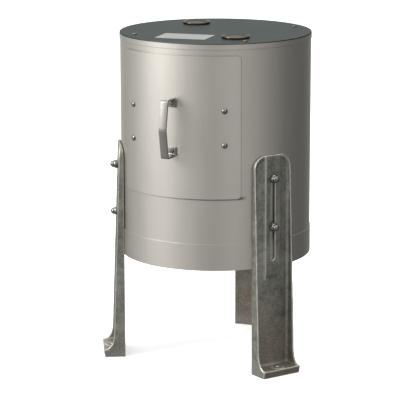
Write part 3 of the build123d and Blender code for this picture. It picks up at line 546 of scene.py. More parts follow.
def sheet_steel(name, colour, roughness=0.44, grain=(420.0, 420.0, 5.0), patch=0.035, painted_shade=None):
    """Satin rolled sheet: fine grain along one axis, cloudy patches, faint scuffs and, where given, painted
    shade.
    """
    finish = Finish(name, metallic=1.0, roughness=roughness)
    fine = finish.noise(1.0, 6.0, 0.6, stretch=grain)
    broad = finish.noise(7.0, 3.0, 0.5)
    smear = finish.noise(2.2, 5.0, 0.62, stretch=(9.0, 9.0, 2.5), distortion=0.4)
    scuffs = finish.noise(60.0, 2.0, 0.4, stretch=(1.0, 1.0, 0.35)).band(0.64, 0.74)
    tone = (fine * 0.35 + broad * 0.35 + smear * 0.30).band(0.30, 0.70)
    base = tone.between(shade(colour, 1 - patch), shade(colour, 1 + patch))
    # Painted shade is mixed into the sheet's colour where a mask is given
    if painted_shade:
        base = painted_shade(finish).between(base, colours().painted_shade)
    finish.set(Base_Color=base, Roughness=roughness - 0.05 + fine * 0.05 + smear * 0.07 + scuffs * 0.03)
    return finish.bump(fine + broad * 0.6, 0.000012, 0.8).material


def plate_with_painted_reflection():
    """The top's sheet, its colour painted dark as painted reflection of dark surroundings, brushed along X
    and dull at grazing angles.
    """
    steel = sheet_steel("top_plate_steel", colours().top_plate, 0.45, (14.0, 520.0, 14.0), patch=0.08)
    steel.node_tree.nodes["Principled BSDF"].inputs["Specular Tint"].default_value = PLATE_TINT
    return steel


def door_shadow(finish):
    """Painted shadow on the shell under the door's lower edge, stronger towards its right end."""
    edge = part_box("door_panel")[0].z
    height = finish.axis("Z")
    low_end = height.band(edge - 4.5 * MM, edge - 1.0 * MM)
    high_end = height.band(edge + 2 * MM, edge + 6 * MM)
    towards_right = finish.axis("X").band(-0.09, 0.10) * 0.75 + 0.2
    front = 1 - finish.axis("Y").band(-0.160, -0.145)
    return (low_end * (1 - high_end) * towards_right * front).clamp()


def door_edge_shade(finish):
    """Painted shade on the sheet's upper and lower cut edges, for the shadow in the gap round the door."""
    return finish.marked("rim") * 0.8


def polished_steel(name, colour, roughness=0.09):
    """Bright turned steel with hairline scratches and finger marks."""
    finish = Finish(name, metallic=1.0, roughness=roughness)
    scratches = finish.scratches()
    marks = finish.noise(90.0, 4.0, 0.6).band(0.45, 0.75)
    finish.set(
        Base_Color=marks.between(colour, shade(colour, 0.86)),
        Roughness=roughness + scratches * 0.05 + marks * 0.09,
    )
    return finish.bump(scratches, 0.000004, 0.5).material


def flue_cap_steel():
    """Pressed cap: a satin dome in a lighter copy of the plate's painted dark tone, over a polished skirt
    painted dark as painted reflection.
    """
    c = colours()
    finish = Finish("cap_steel", metallic=1.0, roughness=0.3)
    finish.surface.inputs["Specular Tint"].default_value = CAP_TINT
    dome = finish.axis("Z").band(DRUM_TOP + 6.0 * MM, DRUM_TOP + 8.5 * MM)
    cloud = finish.noise(60.0, 4.0, 0.6)
    scratches = finish.scratches()
    # Painted reflection: the dome copies the plate's painted dark tone, and the skirt is painted dark
    satin = cloud.between(shade(c.top_plate, 1.05), shade(c.top_plate, 1.45))
    finish.set(Base_Color=dome.between(CAP_SKIRT_PAINTED_REFLECTION, satin), Roughness=0.12 + dome * 0.30 + scratches * 0.05)
    return finish.bump(scratches, 0.000004, 0.5).material


def cast_aluminium():
    """Fettled sand casting: grainy skin, brown stain where cast_skin() marked it, edges lighter partly from
    rubbing and partly as painted highlight, bright specks as painted glints, and painted highlight on the
    feet.
    """
    c = colours()
    finish = Finish("cast_aluminium", metallic=0.75, roughness=0.5)
    grain = finish.noise(620.0, 3.0, 0.55)
    sand = finish.noise(240.0, 5.0, 0.7)
    mottle = finish.noise(70.0, 5.0, 0.65)
    clouds = finish.noise(22.0, 4.0, 0.6)
    edges = finish.marked("rim") * finish.noise(85.0, 4.0, 0.6).band(0.18, 0.50)
    stain = (finish.marked("stain") * clouds.band(0.30, 0.62) * 0.85).clamp()
    # Painted highlight: the feet, low on the castings, are lightened
    foot = 1 - finish.axis("Z").band(0.010, 0.034)
    skin = (mottle * 0.40 + clouds * 0.35 + sand * 0.25).band(0.34, 0.66)
    base = skin.between(shade(c.cast_dark, 0.9), shade(c.cast_dark, 2.2))
    base = (foot * 0.55).between(base, c.cast_foot_highlight)
    base = (stain * (0.75 + mottle * 0.6)).clamp().between(base, c.cast_brown)
    # Edges lightened partly as rubbed wear and partly as painted highlight; the bright specks are painted
    # glints
    base = (edges * 0.85 + grain.band(0.56, 0.66) * 0.55).clamp().between(base, c.cast_rubbed_highlight)
    finish.set(Base_Color=base, Roughness=0.33 + sand * 0.20 - edges * 0.10, Metallic=0.85 - stain * 0.45)
    return finish.bump(sand * 0.7 + grain * 0.25 + mottle * 0.5, 0.0005, 0.7).material


def cast_iron():
    """Rough black-grey casting with rust freckles."""
    c = colours()
    finish = Finish("cast_iron", metallic=0.35, roughness=0.6)
    sand = finish.noise(420.0, 5.0, 0.7)
    freckles = finish.noise(130.0, 4.0, 0.6).band(0.60, 0.72)
    base = sand.band(0.3, 0.7).between(shade(c.iron, 0.7), shade(c.iron, 1.7))
    finish.set(Base_Color=(freckles * 0.35).between(base, RUST), Roughness=0.52 + sand * 0.25)
    return finish.bump(sand, 0.0003, 0.7).material


def black_pipe():
    """Blackened steel with a thin oily coat and worn ridges."""
    c = colours()
    finish = Finish("black_pipe", metallic=0.6, roughness=0.4, coat=0.15)
    drawn = finish.noise(1.0, 5.0, 0.6, stretch=(700.0, 700.0, 40.0))
    wear = finish.noise(55.0, 5.0, 0.65).band(0.58, 0.72)
    finish.set(Base_Color=(wear * 0.5).between(c.black_pipe, WORN_STEEL), Roughness=0.32 + drawn * 0.2)
    return finish.bump(drawn, 0.00003, 0.6).material


def heated_steel():
    """Stainless sheet that has been hot: straw, bronze and blue bands near the chamber."""
    c = colours()
    finish = Finish("heated_steel", metallic=1.0, roughness=0.35)
    clouds = finish.noise(30.0, 4.0, 0.6)
    fine = finish.noise(500.0, 4.0, 0.6)
    heat = clouds + (fine - 0.5) * 0.2
    straw = heat.band(0.30, 0.50).between(BLUED_STEEL, BRONZED_STEEL)
    tinted = heat.band(0.52, 0.70).between(straw, shade(c.stainless, 0.75))
    finish.set(Base_Color=tinted, Roughness=0.30 + fine * 0.22)
    return finish.bump(fine, 0.00002, 0.6).material


def brass():
    """Turned brass, bright on the ridges and brown in the corners."""
    c = colours()
    finish = Finish("brass", metallic=1.0, roughness=0.28)
    tarnish = finish.noise(70.0, 5.0, 0.65).band(0.42, 0.72)
    turned = finish.noise(1.0, 3.0, 0.5, stretch=(300.0, 300.0, 1400.0))
    finish.set(
        Base_Color=tarnish.between(c.brass, shade(c.brass, 0.48)),
        Roughness=0.22 + tarnish * 0.20 + turned * 0.06,
    )
    return finish.bump(turned, 0.00001, 0.6).material


def zinc_plate():
    """Zinc plating with a faint yellow cast and crystalline patches."""
    c = colours()
    finish = Finish("zinc_plate", metallic=0.95, roughness=0.32)
    flakes = finish.cells(180.0)
    tint = finish.noise(40.0, 4.0, 0.6).band(0.4, 0.7)
    finish.set(Base_Color=tint.between(c.zinc, YELLOWED_ZINC), Roughness=0.26 + flakes * 0.16)
    return finish.bump(flakes, 0.00002, 0.4).material


def ceramic_fibre(name, dirty=0.35):
    """Matted white fibre with tufts, pits and a little dirt."""
    c = colours()
    finish = Finish(name, roughness=0.95, specular=0.15)
    tufts = finish.noise(160.0, 8.0, 0.72, distortion=1.5)
    threads = finish.noise(1.0, 6.0, 0.7, stretch=(900.0, 900.0, 120.0), distortion=0.8)
    dirt = finish.noise(14.0, 4.0, 0.6).band(0.52, 0.76)
    base = (tufts * 0.6 + threads * 0.4).band(0.25, 0.75).between(shade(c.fibre, 0.82), shade(c.fibre, 1.08))
    finish.set(Base_Color=(dirt * dirty).between(base, FIBRE_DIRT), Roughness=0.88 + tufts * 0.1)
    return finish.bump(tufts + threads * 0.6, 0.0012, 0.7).material


def cast_refractory():
    """Pale rammed refractory: pores, aggregate, hairline cracks and scorch round the burner port."""
    c = colours()
    finish = Finish("cast_refractory", roughness=0.9, specular=0.2)
    aggregate = finish.cells(130.0)
    body = finish.noise(60.0, 8.0, 0.68)
    pores = finish.noise(340.0, 3.0, 0.5).band(0.30, 0.42)
    cracks = 1 - finish.cells(9.0, "DISTANCE_TO_EDGE").band(0.0, 0.012)
    chamber = 0.135
    port = tuple(BURNER_FACE - BURNER_AXIS * (hypot(BURNER_FACE.x, BURNER_FACE.y) - chamber))
    distance = {"operation": "DISTANCE"}
    away = finish.start.node("ShaderNodeVectorMath", distance, {0: finish.place, 1: port}, output=1)
    scorch = ((1 - away.band(0.02, 0.16)) * (0.6 + body * 0.8)).clamp()
    mix = (body * 0.6 + aggregate * 0.5).band(0.25, 0.75)
    base = mix.between(shade(c.refractory, 0.78), shade(c.refractory, 1.15))
    base = scorch.between(base, c.soot)
    finish.set(Base_Color=(cracks * 0.7).between(base, CRACK), Roughness=0.82 + body * 0.15)
    return finish.bump(aggregate * 0.35 + body * 0.6 + pores * 0.35 - cracks * 0.5, 0.0012, 0.8).material


def woven_gasket():
    """Flat woven fibre tape."""
    c = colours()
    finish = Finish("woven_gasket", roughness=0.95, specular=0.1)
    wave = {"wave_type": "BANDS", "bands_direction": "DIAGONAL"}
    threads = {"Scale": 160.0, "Distortion": 0.6}
    mirrored = finish.stretched((-1.0, 1.0, 1.0))
    first = finish.start.node("ShaderNodeTexWave", wave, {"Vector": finish.place, **threads})
    second = finish.start.node("ShaderNodeTexWave", wave, {"Vector": mirrored, **threads})
    fuzz = finish.noise(500.0, 5.0, 0.7)
    weave = (first + second) * 0.5
    finish.set(Base_Color=(weave * 0.7 + fuzz * 0.3).between(shade(c.fibre, 0.5), shade(c.fibre, 0.9)))
    return finish.bump(weave + fuzz * 0.4, 0.0005, 0.8).material


def vinyl_grip():
    """Dipped vinyl with a soft shine and dust."""
    c = colours()
    finish = Finish("vinyl_grip", roughness=0.38, coat=0.2)
    pebble = finish.noise(700.0, 3.0, 0.5)
    dust = finish.noise(50.0, 5.0, 0.65).band(0.5, 0.78)
    finish.set(
        Base_Color=(dust * 0.25).between(c.grip, GRIP_DUST),
        Roughness=0.30 + pebble * 0.12 + dust * 0.2,
    )
    return finish.bump(pebble, 0.00008, 0.6).material


LABEL_TURN = 8.0
LABEL_HALF_LENGTH = 0.055
LABEL_HALF_WIDTH = 0.037
# The printed border lies between these two distances from the label's edge, and print fades over a blur
BORDER_OUTER = 0.005
BORDER_INNER = 0.006
PRINT_BLUR = 0.0005
ROW_PITCH = 0.0095
COLUMN_PLACE = -0.012


def label_plate():
    """Aluminium label with a printed border, ruled lines and blank fields, and no lettering."""
    c = colours()
    finish = Finish("label_plate", metallic=0.55, roughness=0.42)
    middle_of_label = tuple(middle("data_label"))
    turned = finish.start.node(
        "ShaderNodeMapping",
        {"vector_type": "TEXTURE"},
        {"Vector": finish.place, "Location": middle_of_label, "Rotation": (0, 0, radians(LABEL_TURN))},
    )
    across = turned.part(0)
    along = turned.part(1)
    side = finish.start.math("ABSOLUTE", across)
    end = finish.start.math("ABSOLUTE", along)

    def within(margin):
        """One inside that margin of the label and nought outside."""
        reach = LABEL_HALF_LENGTH - margin
        depth = LABEL_HALF_WIDTH - margin
        return (1 - side.band(reach, reach + PRINT_BLUR)) * (1 - end.band(depth, depth + PRINT_BLUR))

    inside = within(BORDER_INNER)
    border = within(BORDER_OUTER) - inside
    rows = finish.start.math("PINGPONG", along * (1 / ROW_PITCH), 0.5).band(0.40, 0.43)
    columns = 1 - finish.start.math("ABSOLUTE", across - COLUMN_PLACE).band(0.0004, 0.0007)
    ruled = ((rows + columns).clamp() * inside * 0.8).clamp()
    print_share = (border + ruled).clamp()
    brushed = finish.noise(1.0, 4.0, 0.6, stretch=(40.0, 900.0, 40.0))
    plate = brushed.between(shade(c.label, 0.93), shade(c.label, 1.05))
    finish.set(
        Base_Color=print_share.between(plate, c.label_print),
        Roughness=0.36 + brushed * 0.1,
        Metallic=0.6 - print_share * 0.5,
    )
    return finish.bump(brushed, 0.000008, 0.6).material


_made = {}


def finish_named(name):
    """The finish of that name, made once."""
    c = colours()
    door = shade(c.stainless, 1.03)
    # Painted shade: the handle's strap is a darker copy of the stainless
    strap = shade(c.stainless, 0.50)
    strap_grain = (700.0, 700.0, 12.0)
    makers = {
        "stainless": lambda: sheet_steel("stainless_satin", c.stainless),
        # The shell carries the painted shadow under the door's lower edge
        "stainless_shell": lambda: sheet_steel("stainless_shell", c.stainless, painted_shade=door_shadow),
        # Painted shade on the door's upper and lower cut edges
        "stainless_door": lambda: sheet_steel("stainless_door", door, 0.43, painted_shade=door_edge_shade),
        "stainless_strap": lambda: sheet_steel("stainless_strap", strap, 0.38, strap_grain),
        # The top plate's dark tone is painted reflection
        "top_plate": plate_with_painted_reflection,
        "polished": lambda: polished_steel("stainless_polished", c.polished),
        "cap": flue_cap_steel,
        # Painted shade: the nuts, bolt heads, washers and lid screws are darker copies of the polished
        # steel, for the dark surroundings that they mirror
        "nut": lambda: polished_steel("shaded_nut_steel", shade(c.polished, 0.40), 0.15),
        "screw": lambda: polished_steel("shaded_screw_steel", shade(c.polished, 0.30), 0.36),
        "zinc": zinc_plate,
        "cast_aluminium": cast_aluminium,
        "cast_iron": cast_iron,
        "black_pipe": black_pipe,
        "heated_steel": heated_steel,
        "brass": brass,
        "fibre": lambda: ceramic_fibre("ceramic_fibre"),
        "fibre_board": lambda: ceramic_fibre("fibre_board", 0.55),
        "refractory": cast_refractory,
        "gasket": woven_gasket,
        "grip": vinyl_grip,
        "label": label_plate,
    }
    if name not in _made:
        _made[name] = makers[name]()
    return _made[name]


def dress(finish, *nodes):
    """Gives CAD nodes' own meshes a finish."""
    for node in nodes:
        slots = frame["nodes"][node].data.materials
        slots.clear()
        slots.append(finish_named(finish))


# Light of the studio's walls by azimuth from the camera in degrees, as shares of ROOM_RANGE
ROOM_RANGE = 1.6
ROOM_PANELS = (
    (-180, 0.55), (-160, 0.50), (-138, 0.26), (-112, 0.32), (-92, 0.56), (-76, 0.74),
    (-62, 0.72), (-46, 0.48), (-22, 0.40), (-2, 0.20), (20, 0.54), (40, 0.36),
    (62, 0.26), (84, 0.12), (120, 0.08), (146, 0.12), (162, 0.42), (180, 0.55),
)
CEILING_LIGHT = 0.80

# Places of the soft lights with the camera in front, and the point that they are aimed at
KEY_PLACE = (-2.7, -1.25, 1.9)
TOP_PLACE = (-0.3, 0.2, 3.2)
LAMP_TARGET = (0, 0, 0.45)
FLOOR_HALF = 30.0


# ---- Operators ----
class ForgeOperator:
    """What the operators share."""

    bl_options = {"REGISTER", "UNDO"}

    def execute(self, context):
        self.make()
        return {"FINISHED"}


class FORGE_OT_drum(ForgeOperator, bpy.types.Operator):
    """Makes the jacket, the bottom pan, the top band and the top plate"""

    bl_idname = "forge.drum"
    bl_label = "Drum"

    def make(self):
        edge = sizes().sheet_edge
        rolled_sheet("drum_jacket", "shell", "drum_body", "stainless_shell", edge)
        rolled_sheet("drum_top_band", "top_band", "drum_body", "stainless", edge * 0.6)
        rolled_sheet("drum_pan", "bottom_pan", "drum_body", "stainless", edge * 0.8)
        softened("drum_lid", "top_plate", "drum_body", "top_plate", edge * 0.4)
        dress("zinc", "top_mounting_ring")


class FORGE_OT_flue_caps(ForgeOperator, bpy.types.Operator):
    """Makes the two pressed flue caps, domed over a skirt that draws in to the plate"""

    bl_idname = "forge.flue_caps"
    bl_label = "Flue Caps"

    def make(self):
        for side in ("front", "rear"):
            node = f"flue_cap_{side}"
            low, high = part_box(node)
            centre = middle(node)
            bm = spun(self.profile(low, high), sizes().spin_steps, centre.x, centre.y)
            body = f"flue_cap_{side}_body"
            finish_mesh(f"pressed_cap_{side}", bm, body, "cap", [node])
            dress("heated_steel", f"flue_collar_{side}")

    def profile(self, low, high):
        """Half section from the spigot's inside, round the skirt and rim, to the top of the dome."""
        radius = (high.x - low.x) / 2
        sheet = 1.2 * MM
        spigot = 19.7 * MM
        roll = 0.9 * MM
        foot = radius - 2.1 * MM
        skirt = DRUM_TOP + 0.3 * MM
        under = DRUM_TOP + 1.9 * MM
        rim = DRUM_TOP + 3.7 * MM
        rise = high.z - rim
        dome = (radius**2 + rise**2) / (2 * rise)
        steps = 16
        bore = spigot - sheet
        inner = [(0, under), (bore, under), (bore, low.z), (spigot, low.z), (spigot, under)]
        hollow = [(foot - sheet, under), (foot - sheet, skirt), (foot, skirt)]
        rolled = arc((radius - roll, rim), roll, -30, 62, 6)
        crown = []
        for n in range(1, steps + 1):
            across = (radius - roll) * (1 - n / steps)
            crown.append((across, high.z - dome + (dome**2 - across**2) ** 0.5))
        return inner + hollow + rolled + crown


class FORGE_OT_top_fittings(ForgeOperator, bpy.types.Operator):
    """Makes the label and the top plate's screws"""

    bl_idname = "forge.top_fittings"
    bl_label = "Top Fittings"

    def make(self):
        softened("blank_label", "data_label", "drum_body", "label", 0.15 * MM)
        bm = copy_of("top_plate_screws")
        soften(bm, 0.2 * MM)
        self.recess(bm)
        finish_mesh("lid_screws", bm, "drum_body", "screw", ["top_plate_screws"])

    def recess(self, bm):
        """Presses a socket into the middle of each of the four screws' heads."""
        wall = 0.55 * MM
        taper = 0.12 * MM
        deep = 1.2 * MM
        top = max(v.co.z for v in bm.verts)
        crowns = [f for f in bm.faces if f.normal.z > 0.99 and f.calc_center_median().z > top - 0.2 * MM]
        for crown in sorted(crowns, key=lambda f: -f.calc_area())[:4]:
            bmesh.ops.inset_region(bm, faces=[crown], thickness=wall, depth=0)
            bmesh.ops.inset_region(bm, faces=[crown], thickness=taper, depth=-deep)


class FORGE_OT_door(ForgeOperator, bpy.types.Operator):
    """Makes the door's panel, bolts, clips, tray, block and gasket"""

    bl_idname = "forge.door"
    bl_label = "Door"

    def make(self):
        edge = sizes().sheet_edge
        body = "door_body"
        rolled_sheet("door_skin", "door_panel", body, "stainless_door", edge * 0.6)
        softened("door_bolt_heads", "door_bolts", body, "nut", 0.25 * MM)
        for side in ("left", "right"):
            softened(f"spring_leaf_{side}", f"door_clip_{side}", body, "heated_steel", 0.2 * MM)
        softened("block_tray", "door_tray", body, "heated_steel", 0.3 * MM)
        softened("fibre_block", "door_block", body, "fibre", 1.6 * MM, 3)
        dress("gasket", "door_gasket")
        dress("zinc", "door_bolt_nuts", "handle_nuts")


class FORGE_OT_handle(ForgeOperator, bpy.types.Operator):
    """Makes the bow handle with rounded strap edges, and its screws"""

    bl_idname = "forge.handle"
    bl_label = "Handle"

    def make(self):
        width = sizes().handle_edge
        softened("bow_handle", "door_handle", "door_body", "stainless_strap", width, 3)
        softened("handle_fixings", "handle_screws", "door_body", "nut", 0.2 * MM)


class FORGE_OT_legs(ForgeOperator, bpy.types.Operator):
    """Makes the three cast legs, rounded on every edge as a sand casting is"""

    bl_idname = "forge.legs"
    bl_label = "Legs"

    def make(self):
        for node, azimuth in LEG_AZIMUTHS.items():
            skin = cast_skin(node, azimuth)
            finish_mesh(f"cast_{node}", skin, f"{node}_body", "cast_aluminium", [node], 80)


class FORGE_OT_leg_fixings(ForgeOperator, bpy.types.Operator):
    """Makes the domed nuts and washers of the legs"""

    bl_idname = "forge.leg_fixings"
    bl_label = "Leg Fixings"

    def make(self):
        softened("domed_nuts", "leg_acorn_nuts", "drum_body", "nut", 0.35 * MM, 2, 40)
        softened("flat_washers", "leg_washers", "drum_body", "nut", 0.25 * MM)
        dress("zinc", "leg_studs", "leg_spacers", "leg_stud_plates")


class FORGE_OT_lining(ForgeOperator, bpy.types.Operator):
    """Gives the lining, the boards and the doorway's casing their finishes"""

    bl_idname = "forge.lining"
    bl_label = "Lining"

    def make(self):
        body = "drum_body"
        for node in ("liner_left", "liner_rear", "liner_right", "door_lintel", "hearth_slab", "roof_slab"):
            softened(f"cast_{node}", node, body, "refractory", 1.2 * MM, 3)
        dress("fibre_board", "fibre_blanket", "floor_board_lower", "floor_board_upper", "roof_board")
        softened("doorway_casing", "door_frame", body, "heated_steel", 0.3 * MM)


class FORGE_OT_burner(ForgeOperator, bpy.types.Operator):
    """Makes the burner's saddle, tube, nozzle, mixer, shutter and jet"""

    bl_idname = "forge.burner"
    bl_label = "Burner"

    def make(self):
        edge = sizes().machined_edge
        body = "drum_body"
        softened("burner_flange", "burner_saddle", body, "zinc", edge)
        softened("flange_rivets", "burner_saddle_rivets", body, "zinc", edge * 0.5)
        softened("thumb_screws", "burner_set_screws", body, "zinc", edge)
        softened("burner_pipe", "burner_tube", body, "black_pipe", edge)
        softened("flared_nozzle", "flame_nozzle", body, "heated_steel", edge)
        softened("mixer_casting", "burner_mixer", body, "cast_iron", edge * 3, 3)
        softened("air_disc", "air_shutter", "air_shutter_body", "zinc", edge)
        softened("jet_stem", "jet_holder", body, "brass", edge)
        dress("brass", "gas_jet")


class FORGE_OT_gas_line(ForgeOperator, bpy.types.Operator):
    """Makes the elbow, riser, ball valve, lever with its sleeve, and threaded inlet"""

    bl_idname = "forge.gas_line"
    bl_label = "Gas Line"

    def make(self):
        edge = sizes().machined_edge
        body = "drum_body"
        lever_body = "gas_valve_body"
        softened("pipe_elbow", "gas_elbow", body, "brass", edge * 2, 3)
        softened("pipe_riser", "gas_riser", body, "black_pipe", edge)
        softened("valve_casting", "valve_body", body, "brass", edge * 2)
        softened("valve_gland", "valve_bonnet", body, "brass", edge)
        softened("lever_blade", "valve_lever", lever_body, "zinc", edge)
        softened("lever_nut", "valve_lever_nut", lever_body, "zinc", edge)
        dress("polished", "valve_ball", "valve_stem")
        self.thread()
        self.sleeve()

    def thread(self):
        """The inlet nipple: its hexagon from the frame, and thread ridges turned on its stem."""
        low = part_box("gas_inlet")[0]
        centre = middle("gas_inlet")
        stem = 6.6 * MM
        bore = 4.5 * MM
        length = 14.0 * MM
        lead = 1.0 * MM
        depth = 0.7 * MM
        chamfer = 0.9 * MM
        steps = 48
        pitch = sizes().thread_pitch
        stem_top = low.z + length
        turns = int((stem_top - low.z - 2 * lead) / pitch)
        ridges = []
        for n in range(turns):
            foot = low.z + lead + n * pitch
            ridges += [(stem - depth, foot), (stem, foot + pitch * 0.5)]
        tip = [(bore, stem_top), (bore, low.z), (stem - chamfer, low.z)]
        bm = spun([*tip, *ridges, (stem - depth, stem_top)], steps, centre.x, centre.y)
        nipple = copy_of("gas_inlet")
        plain_stem = [f for f in nipple.faces if f.calc_center_median().z < stem_top - 0.01 * MM]
        bmesh.ops.delete(nipple, geom=plain_stem, context="FACES")
        join_bmesh(bm, nipple)
        finish_mesh("inlet_nipple", bm, "drum_body", "brass", ["gas_inlet"], 20, False)

    def sleeve(self):
        """A dipped sleeve over the lower part of the lever's blade."""
        turn = joint("gas_valve_turn")
        low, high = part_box("valve_lever")
        axis = Vector(turn["axis"])
        hub = Vector(turn["pos_m"])
        along = (middle("valve_lever") - hub).dot(axis)
        across = axis.cross(Vector((0, 0, 1)))
        wall = sizes().grip_wall
        half_width = 6.0 * MM + wall
        half_thick = 1.25 * MM + wall
        bare = 26 * MM
        top = high.z - bare
        bottom = low.z
        bm = bmesh.new()
        bmesh.ops.create_cube(bm, size=1.0)
        bmesh.ops.scale(bm, vec=(2 * half_width, 2 * half_thick, top - bottom), verts=bm.verts)
        corners = [e for e in bm.edges if self.runs_through(e) and e.verts[0].co.z < 0]
        bevel(bm, corners, half_width * 0.92, 8)
        rim = [e for e in bm.edges if e.calc_face_angle(0) > radians(50)]
        bevel(bm, rim, wall * 0.9, 3)
        place = hub + axis * along
        basis = Matrix((across, axis, Vector((0, 0, 1)))).transposed().to_4x4()
        matrix = Matrix.Translation((place.x, place.y, (top + bottom) / 2)) @ basis
        bmesh.ops.transform(bm, matrix=matrix, verts=bm.verts)
        finish_mesh("lever_sleeve", bm, "gas_valve_body", "grip", smooth_angle=60)

    def runs_through(self, edge):
        """Whether an edge runs along the blade's thickness."""
        first, last = (v.co for v in edge.verts)
        return abs(first.x - last.x) < 1e-6 and abs(first.z - last.z) < 1e-6


class FORGE_OT_welds(ForgeOperator, bpy.types.Operator):
    """Lays the weld bead where the collar meets the burner's flange"""

    bl_idname = "forge.welds"
    bl_label = "Welds"

    def make(self):
        collar = 23.5 * MM
        flange_face = DRUM_RADIUS + 2.1 * MM
        radius = sizes().weld_bead
        ripples = 22
        steps = 120
        bm = bmesh.new()
        ring = []
        for n in range(steps):
            turn = 2 * pi * n / steps
            across = collar * cos(turn)
            station = (flange_face**2 - across**2) ** 0.5
            swell = radius * (0.85 + 0.15 * abs(sin(turn * ripples)))
            ring.append(self.section(bm, turn, collar, station, swell))
        for first, second in zip(ring, ring[1:] + ring[:1]):
            for k, (a, b) in enumerate(zip(first, first[1:])):
                bm.faces.new((a, b, second[k + 1], second[k]))
        matrix = axis_frame(Vector((0, 0, BURNER_FACE.z)), BURNER_AXIS)
        level = Matrix.Rotation(atan2(matrix[2][0], matrix[2][1]), 4, "Z")
        bmesh.ops.transform(bm, matrix=matrix @ level, verts=bm.verts)
        finish_mesh("collar_weld", bm, "drum_body", "zinc", smooth_angle=80)

    def section(self, bm, turn, collar, station, swell):
        """A quarter round of weld in the corner of collar and flange, sunk a little into both."""
        sunk = (0.2 * MM, 0.3 * MM)
        start = -12
        sweep = 114
        steps = 6
        points = []
        for step in range(steps + 1):
            angle = radians(start + sweep * step / steps)
            out = collar - sunk[0] + swell * cos(angle)
            up = station - sunk[1] + swell * sin(angle)
            points.append(bm.verts.new((out * cos(turn), out * sin(turn), up)))
        return points


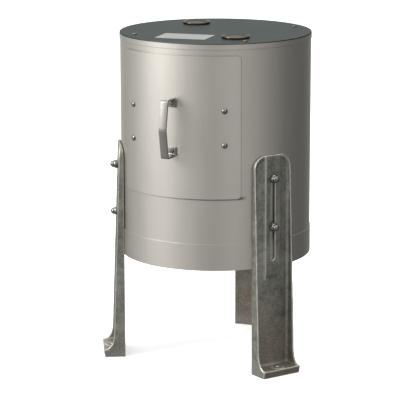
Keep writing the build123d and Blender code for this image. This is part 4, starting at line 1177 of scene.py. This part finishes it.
class FORGE_OT_studio(ForgeOperator, bpy.types.Operator):
    """Makes the pale floor, the soft lights, the room and the camera"""

    bl_idname = "forge.studio"
    bl_label = "Studio"

    def make(self):
        studio = bpy.context.scene.forge_studio
        self.floor(studio)
        self.room(studio)
        turn = Matrix.Rotation(studio.camera_azimuth, 4, "Z")
        self.lamp("key_light", turn @ Vector(KEY_PLACE), 1.3, 1.8, studio.key_power)
        self.lamp("top_light", turn @ Vector(TOP_PLACE), 2.4, 2.4, studio.top_power)
        self.camera(studio, turn)

    def floor(self, studio):
        """A pale floor that only the camera sees, so that the steel doesn't mirror it."""
        bm = bmesh.new()
        bmesh.ops.create_grid(bm, x_segments=2, y_segments=2, size=FLOOR_HALF)
        mesh = bpy.data.meshes.new("floor")
        bm.to_mesh(mesh)
        bm.free()
        finish = Finish("studio_floor", roughness=0.9, specular=0.1)
        tone = finish.noise(0.8, 2.0, 0.5)
        colour = colours().floor
        finish.surface.inputs["Emission Strength"].default_value = studio.floor_glow
        finish.surface.inputs["Emission Color"].default_value = rgba((1.0, 1.0, 1.0))
        finish.set(Base_Color=tone.between(shade(colour, 0.99), colour))
        mesh.materials.append(finish.material)
        floor = placed("floor", mesh)
        floor.visible_diffuse = floor.visible_glossy = floor.visible_shadow = False

    def room(self, studio):
        """Pale walls to the camera; as light, a room whose panels stand around the forge."""
        world = bpy.data.worlds.new("studio_room")
        bpy.context.scene.world = world
        world.use_nodes = True
        tree = world.node_tree
        start = Wire(tree)
        view = start.node("ShaderNodeTexCoord", output=0)
        turn = (0, 0, -studio.camera_azimuth)
        turned = start.node("ShaderNodeMapping", None, {"Vector": view, "Rotation": turn})
        right, away, up = (turned.part(n) for n in range(3))
        around = start.math("ARCTAN2", right, 0.0 - away) * (1 / (2 * pi)) + 0.5
        stops = [((azimuth + 180) / 360, strength) for azimuth, strength in ROOM_PANELS]
        settings = {"color_ramp.interpolation": "EASE"}
        walls = start.node("ShaderNodeValToRGB", settings, {"Fac": around}, stops=stops)
        ceiling = up.band(0.35, 0.85)
        below = 1 - up.band(-0.55, 0.05)
        light = ceiling.between((below * 0.45).between(walls, (0.0, 0.0, 0.0)), (CEILING_LIGHT,) * 3)
        seen = start.node("ShaderNodeLightPath", output=0)
        colour = seen.between(light, (1.0, 1.0, 1.0))
        strength = (1 - seen) * studio.room_light * ROOM_RANGE + seen
        background = start.node("ShaderNodeBackground", None, {"Color": colour, "Strength": strength})
        tree.links.new(background.socket, tree.nodes["World Output"].inputs["Surface"])

    def lamp(self, name, place, width, height, power):
        """A rectangular soft light aimed at the drum."""
        data = bpy.data.lights.new(name, "AREA")
        data.shape = "RECTANGLE"
        data.size = width
        data.size_y = height
        data.energy = power
        lamp = placed(name, data)
        lamp.location = place
        lamp.rotation_euler = (Vector(LAMP_TARGET) - place).to_track_quat("-Z", "Y").to_euler()

    def camera(self, studio, turn):
        """The camera, set up in front of the forge and turned to its azimuth about the drum's axis."""
        data = bpy.data.cameras.new("camera")
        data.lens = studio.lens
        data.sensor_width = 36.0
        data.clip_end = 100.0
        camera = placed("camera", data)
        place = turn @ Vector((0, -studio.camera_distance, 0))
        camera.location = (place.x, place.y, DRUM_BOTTOM + studio.camera_height)
        yaw = Matrix.Rotation(-studio.camera_yaw, 4, "Z")
        pitch = Matrix.Rotation(pi / 2 - studio.camera_pitch, 4, "X")
        roll = Matrix.Rotation(studio.camera_roll, 4, "Z")
        camera.rotation_euler = (turn @ yaw @ pitch @ roll).to_euler()
        bpy.context.scene.camera = camera
        bpy.context.scene.view_settings.view_transform = "Standard"


# The operators in the order in which they are written above
OPERATORS = ForgeOperator.__subclasses__()


class FORGE_PT_panel(bpy.types.Panel):
    """Lists the forge's pieces"""

    bl_idname = "FORGE_PT_panel"
    bl_label = "Gas Forge"
    bl_space_type = "VIEW_3D"
    bl_region_type = "UI"
    bl_category = "Gas Forge"

    def draw(self, context):
        column = self.layout.column()
        for operator in OPERATORS:
            column.operator(operator.bl_idname)
        for group in GROUPS:
            settings = getattr(context.scene, group)
            for name in settings.bl_rna.properties.keys():
                if name not in ("rna_type", "name"):
                    column.prop(settings, name)


def register():
    for name, group in GROUPS.items():
        bpy.utils.register_class(group)
        setattr(bpy.types.Scene, name, PointerProperty(type=group))
    for kind in (*OPERATORS, FORGE_PT_panel):
        bpy.utils.register_class(kind)


def unregister():
    for kind in (FORGE_PT_panel, *reversed(OPERATORS)):
        bpy.utils.unregister_class(kind)
    for name, group in reversed(GROUPS.items()):
        delattr(bpy.types.Scene, name)
        bpy.utils.unregister_class(group)


def main():
    register()
    bpy.ops.forge.drum()
    bpy.ops.forge.flue_caps()
    bpy.ops.forge.top_fittings()
    bpy.ops.forge.door()
    bpy.ops.forge.handle()
    bpy.ops.forge.legs()
    bpy.ops.forge.leg_fixings()
    bpy.ops.forge.lining()
    bpy.ops.forge.burner()
    bpy.ops.forge.gas_line()
    bpy.ops.forge.welds()
    bpy.ops.forge.studio()


if __name__ == "__main__":
    main()
